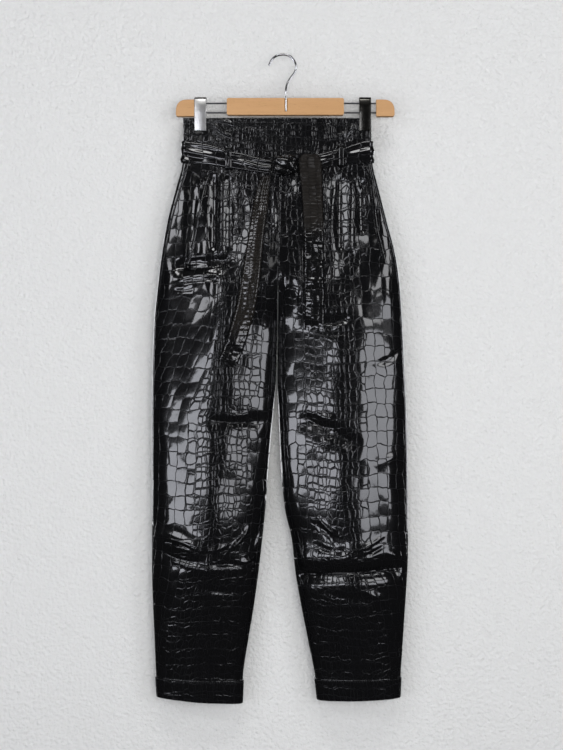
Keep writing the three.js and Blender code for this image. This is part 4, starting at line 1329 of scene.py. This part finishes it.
def bevelled(name, material, slot, width, segments):
    """A CAD node with its hard edges rounded."""
    piece = copied(name)
    piece.data.materials.append(material)
    bevel = piece.modifiers.new("edges", "BEVEL")
    bevel.width = width * MM
    bevel.segments = segments
    bevel.limit_method = "ANGLE"
    bevel.angle_limit = math.radians(40)
    bevel.harden_normals = False
    apply_modifiers(piece)
    piece.data.polygons.foreach_set("use_smooth", np.ones(len(piece.data.polygons), bool))
    piece.data.set_sharp_from_angle(angle=math.radians(35))
    return finish_piece(piece, slot, name)


def apply_modifiers(piece):
    graph = bpy.context.evaluated_depsgraph_get()
    made = bpy.data.meshes.new_from_object(piece.evaluated_get(graph))
    piece.modifiers.clear()
    piece.data = made


HOOK_PATH = [
    (-24.4, 0, -16.9), (-19.8, 0, -7.2), (-12, 0, -0.4), (0, 0, 1.9), (10.4, 0, -0.4), (17.8, 0, -7.6),
    (21.8, 0, -18), (20.3, 0, -27.6), (15.4, 0, -34.6), (10, -0.6, -42.4), (6, -2.6, -51.6),
    (4.6, -4.1, -62), (4.6, -4.1, -78), (4.6, -4.1, -96.2),
]


def tube(name, points, radius, material, slot):
    """A CAD node's round wire along points, with closed ends."""
    path = np.array(points, float)
    tangents = np.gradient(path, run_length(path), axis=0)
    tangents /= np.linalg.norm(tangents, axis=1)[:, None]
    across = np.array([0.0, 1.0, 0.0])
    turns = np.linspace(0, 2 * math.pi, WIRE_SIDES, endpoint=False)
    rows = []
    for point, tangent in zip(path, tangents):
        other = np.cross(tangent, across)
        other /= np.linalg.norm(other)
        up = np.cross(other, tangent)
        rows.append([point + radius * (math.cos(a) * other + math.sin(a) * up) for a in turns])
    mesh = shell_mesh(name + "_finished", rows, closed_rings(len(path), WIRE_SIDES), material)
    mesh.set_sharp_from_angle(angle=math.radians(SHARP))
    return finish_piece(placed(name + "_finished", mesh), slot, name)


def smooth_path(points, count):
    """An even line of points through the given ones, on a smooth curve."""
    given = np.array(points, float)
    reach = np.concatenate([[0], np.cumsum(np.linalg.norm(np.diff(given, axis=0), axis=1) ** 0.5)])
    slopes = np.gradient(given, reach, axis=0)
    at = np.linspace(0, reach[-1], count)
    i = np.clip(np.searchsorted(reach, at, side="right") - 1, 0, len(given) - 2)
    gap = (reach[i + 1] - reach[i])[:, None]
    t = ((at - reach[i])[:, None]) / gap
    first = (1 + 2 * t) * (1 - t) ** 2 * given[i] + t * (1 - t) ** 2 * gap * slopes[i]
    return first + t * t * (3 - 2 * t) * given[i + 1] + t * t * (t - 1) * gap * slopes[i + 1]


def hanger():
    bevelled("hanger_bar", WOOD, "wood", 1.4, 4)
    for word in SIDES:
        bevelled(f"hanger_cap_{word}", WOOD, "wood", 1.8, 4)
        # The right clip gets the chrome copy with painted shade.
        bevelled(f"hanger_clip_{word}", SATIN if word == "left" else SHADED_CHROME, "chrome", 0.5, 3)
    for level, z in (("upper", -82), ("lower", -98)):
        line = [(x, 0.8, z) for x in np.linspace(-167, 173.5, 40)]
        tube(f"hanger_rod_{level}", line, ROD, STEEL, "steel")
    tube("hanger_hook", smooth_path(HOOK_PATH, 160), WIRE, CHROME, "chrome")


def plain_material(name, colour, roughness):
    material, tree, shader, where = material_tree(name)
    darker = tuple(channel * 0.985 for channel in colour)
    tint = blended(tree, noise(tree, where, 3, 2), (*darker, 1), (*colour, 1))
    feed(tree, shader, {"Base Color": tint, "Roughness": roughness})
    return material, tree, shader, where


def flat_panel(name, corners, material):
    mesh = bpy.data.meshes.new(name)
    mesh.from_pydata([tuple(value * MM for value in corner) for corner in corners], [], [(0, 1, 2, 3)])
    mesh.materials.append(material)
    piece = placed(name, mesh)
    return piece


def stage():
    """A pale floor below the hems and a pale wall close behind, which only shows from the front."""
    floor_look, _, _, _ = plain_material("floor", (0.72, 0.715, 0.70), 0.7)
    around = ((-1, -1), (1, -1), (1, 1), (-1, 1))
    corners = [(x * FLOOR_REACH, y * FLOOR_REACH, FLOOR_Z) for x, y in around]
    flat_panel("floor", corners, floor_look).visible_glossy = False

    wall_look, tree, shader, where = plain_material("wall", (0.655, 0.655, 0.647), 0.8)
    feed(tree, shader, {"Normal": bumped(tree, noise(tree, where, 150, 4), 1.0, 0.005)})
    clear = node(tree, "ShaderNodeBsdfTransparent").outputs[0]
    behind = node(tree, "ShaderNodeNewGeometry").outputs["Backfacing"]
    seen = node(tree, "ShaderNodeMixShader", {0: behind, 1: shader.outputs[0], 2: clear})
    feed(tree, tree.nodes["Material Output"], {"Surface": seen.outputs[0]})
    corners = [(x * WALL_REACH, WALL_Y, FLOOR_Z if z < 0 else WALL_TOP) for x, z in around]
    wall = flat_panel("wall", corners, wall_look)
    for kind in ("diffuse", "glossy", "transmission", "shadow"):
        setattr(wall, f"visible_{kind}", False)


def area_light(name, place, target, width, height, radiance):
    light = bpy.data.lights.new(name, "AREA")
    light.shape = "RECTANGLE"
    light.size = width * MM
    light.size_y = height * MM
    light.energy = radiance * math.pi * light.size * light.size_y
    lamp = placed(name, light)
    lamp.location = Vector(place) * MM
    lamp.rotation_euler = (Vector(target) - Vector(place)).to_track_quat("-Z", "Y").to_euler()
    return lamp


# Azimuth and roll in degrees, sizes in millimetres. blue takes red and green from the light.
LIGHTS = table("name azimuth height distance width tall roll radiance blue", [
    ("left_window", -30, -735, 3400, 2960, 480, 12, 5.7, 0.10),
    ("right_window", 37, -495, 3400, 1500, 930, -6, 4.1, 0.08),
    ("left_strip", -33, 800, 3400, 1500, 640, 8, 5.4, 0.06),
    ("right_strip", 37, 620, 3400, 1200, 760, -8, 4.4, 0.03),
    ("clip_card", -5.6, 545, 3400, 330, 190, 0, 1.6, 0),
    ("high_lamp", 0, 3600, 3300, 2400, 900, 0, 8.0, 0),
    ("front_fill", 6, -480, 3000, 1300, 900, 0, 12.0, 0),
    ("back_left", -140, -300, 3400, 2300, 1700, 0, 2.6, 0.05),
    ("back_right", 140, -300, 3400, 2300, 1700, 0, 2.6, 0.05),
])


def lights():
    """A broad window and a strip above it on each side of the camera, a card for the clips, a lamp high in
    front, a fill that shows in no reflection, and two lamps behind, in a dim room."""
    for row in LIGHTS:
        turn = math.radians(row["azimuth"])
        place = (row["distance"] * math.sin(turn), -row["distance"] * math.cos(turn), row["height"])
        target = (0, 0, min(row["height"], LIGHT_TARGET))
        lamp = area_light(row["name"], place, target, row["width"], row["tall"], row["radiance"])
        lamp.rotation_euler.rotate_axis("Z", math.radians(row["roll"]))
        lamp.visible_glossy = row["name"] != "front_fill"
        lamp.data.color = (1 - row["blue"], 1 - 0.8 * row["blue"], 1)
    world = bpy.data.worlds.new("room")
    world.use_nodes = True
    back = world.node_tree.nodes["Background"]
    feed(world.node_tree, back, {"Color": (1, 1, 1, 1), "Strength": ROOM_LIGHT})
    bpy.context.scene.world = world


def camera():
    data = bpy.data.cameras.new("camera")
    data.sensor_width = SENSOR
    data.lens = SENSOR * CAMERA_DISTANCE / VIEW_HEIGHT
    data.clip_end = 50
    view = placed("camera", data)
    view.location = (CAMERA_X * MM, -CAMERA_DISTANCE * MM, CAMERA_Z * MM)
    view.rotation_euler = (math.pi / 2, 0, 0)
    bpy.context.scene.camera = view


bpy.context.scene.view_settings.view_transform = "Standard"
camera()
stage()
lights()

# The sheets of cloth by node, and what is sewn onto each.
sewing = {}
for word, side in SIDES.items():
    leg_panel(side, FRONT, f"front_{word}", 140, 556)
    leg_panel(side, BACK, f"back_{word}", 112, 380)
    waistband_front(side, f"waistband_front_{word}")
    hem_band(side, f"hem_{word}")
    sewing[f"front_{word}"] = [pocket_edge(word, side), pocket_stitching(word, side)]
    sewing[f"waistband_front_{word}"] = [waist_stitching(side, FRONT, f"front_{word}")]
    sewing[f"hem_{word}"] = [hem_stitching(side, word)]
waistband_back()
sewing["waistband_back"] = [waist_stitching(side, BACK, f"back_{word}") for word, side in SIDES.items()]
fly_underlap()
belt_band()
sewing["belt_band"] = [belt_knot()]
belt_tail("left", False, END_LEATHER, "leather")
belt_tail("right", True, REVERSE, "leather_reverse")
for row in LOOPS:
    loop = belt_loop(row)
    band = "waistband_back" if row["face"] == BACK else row["name"].replace("belt_loop", "waistband")
    sewing[band].append(loop)
hanger()
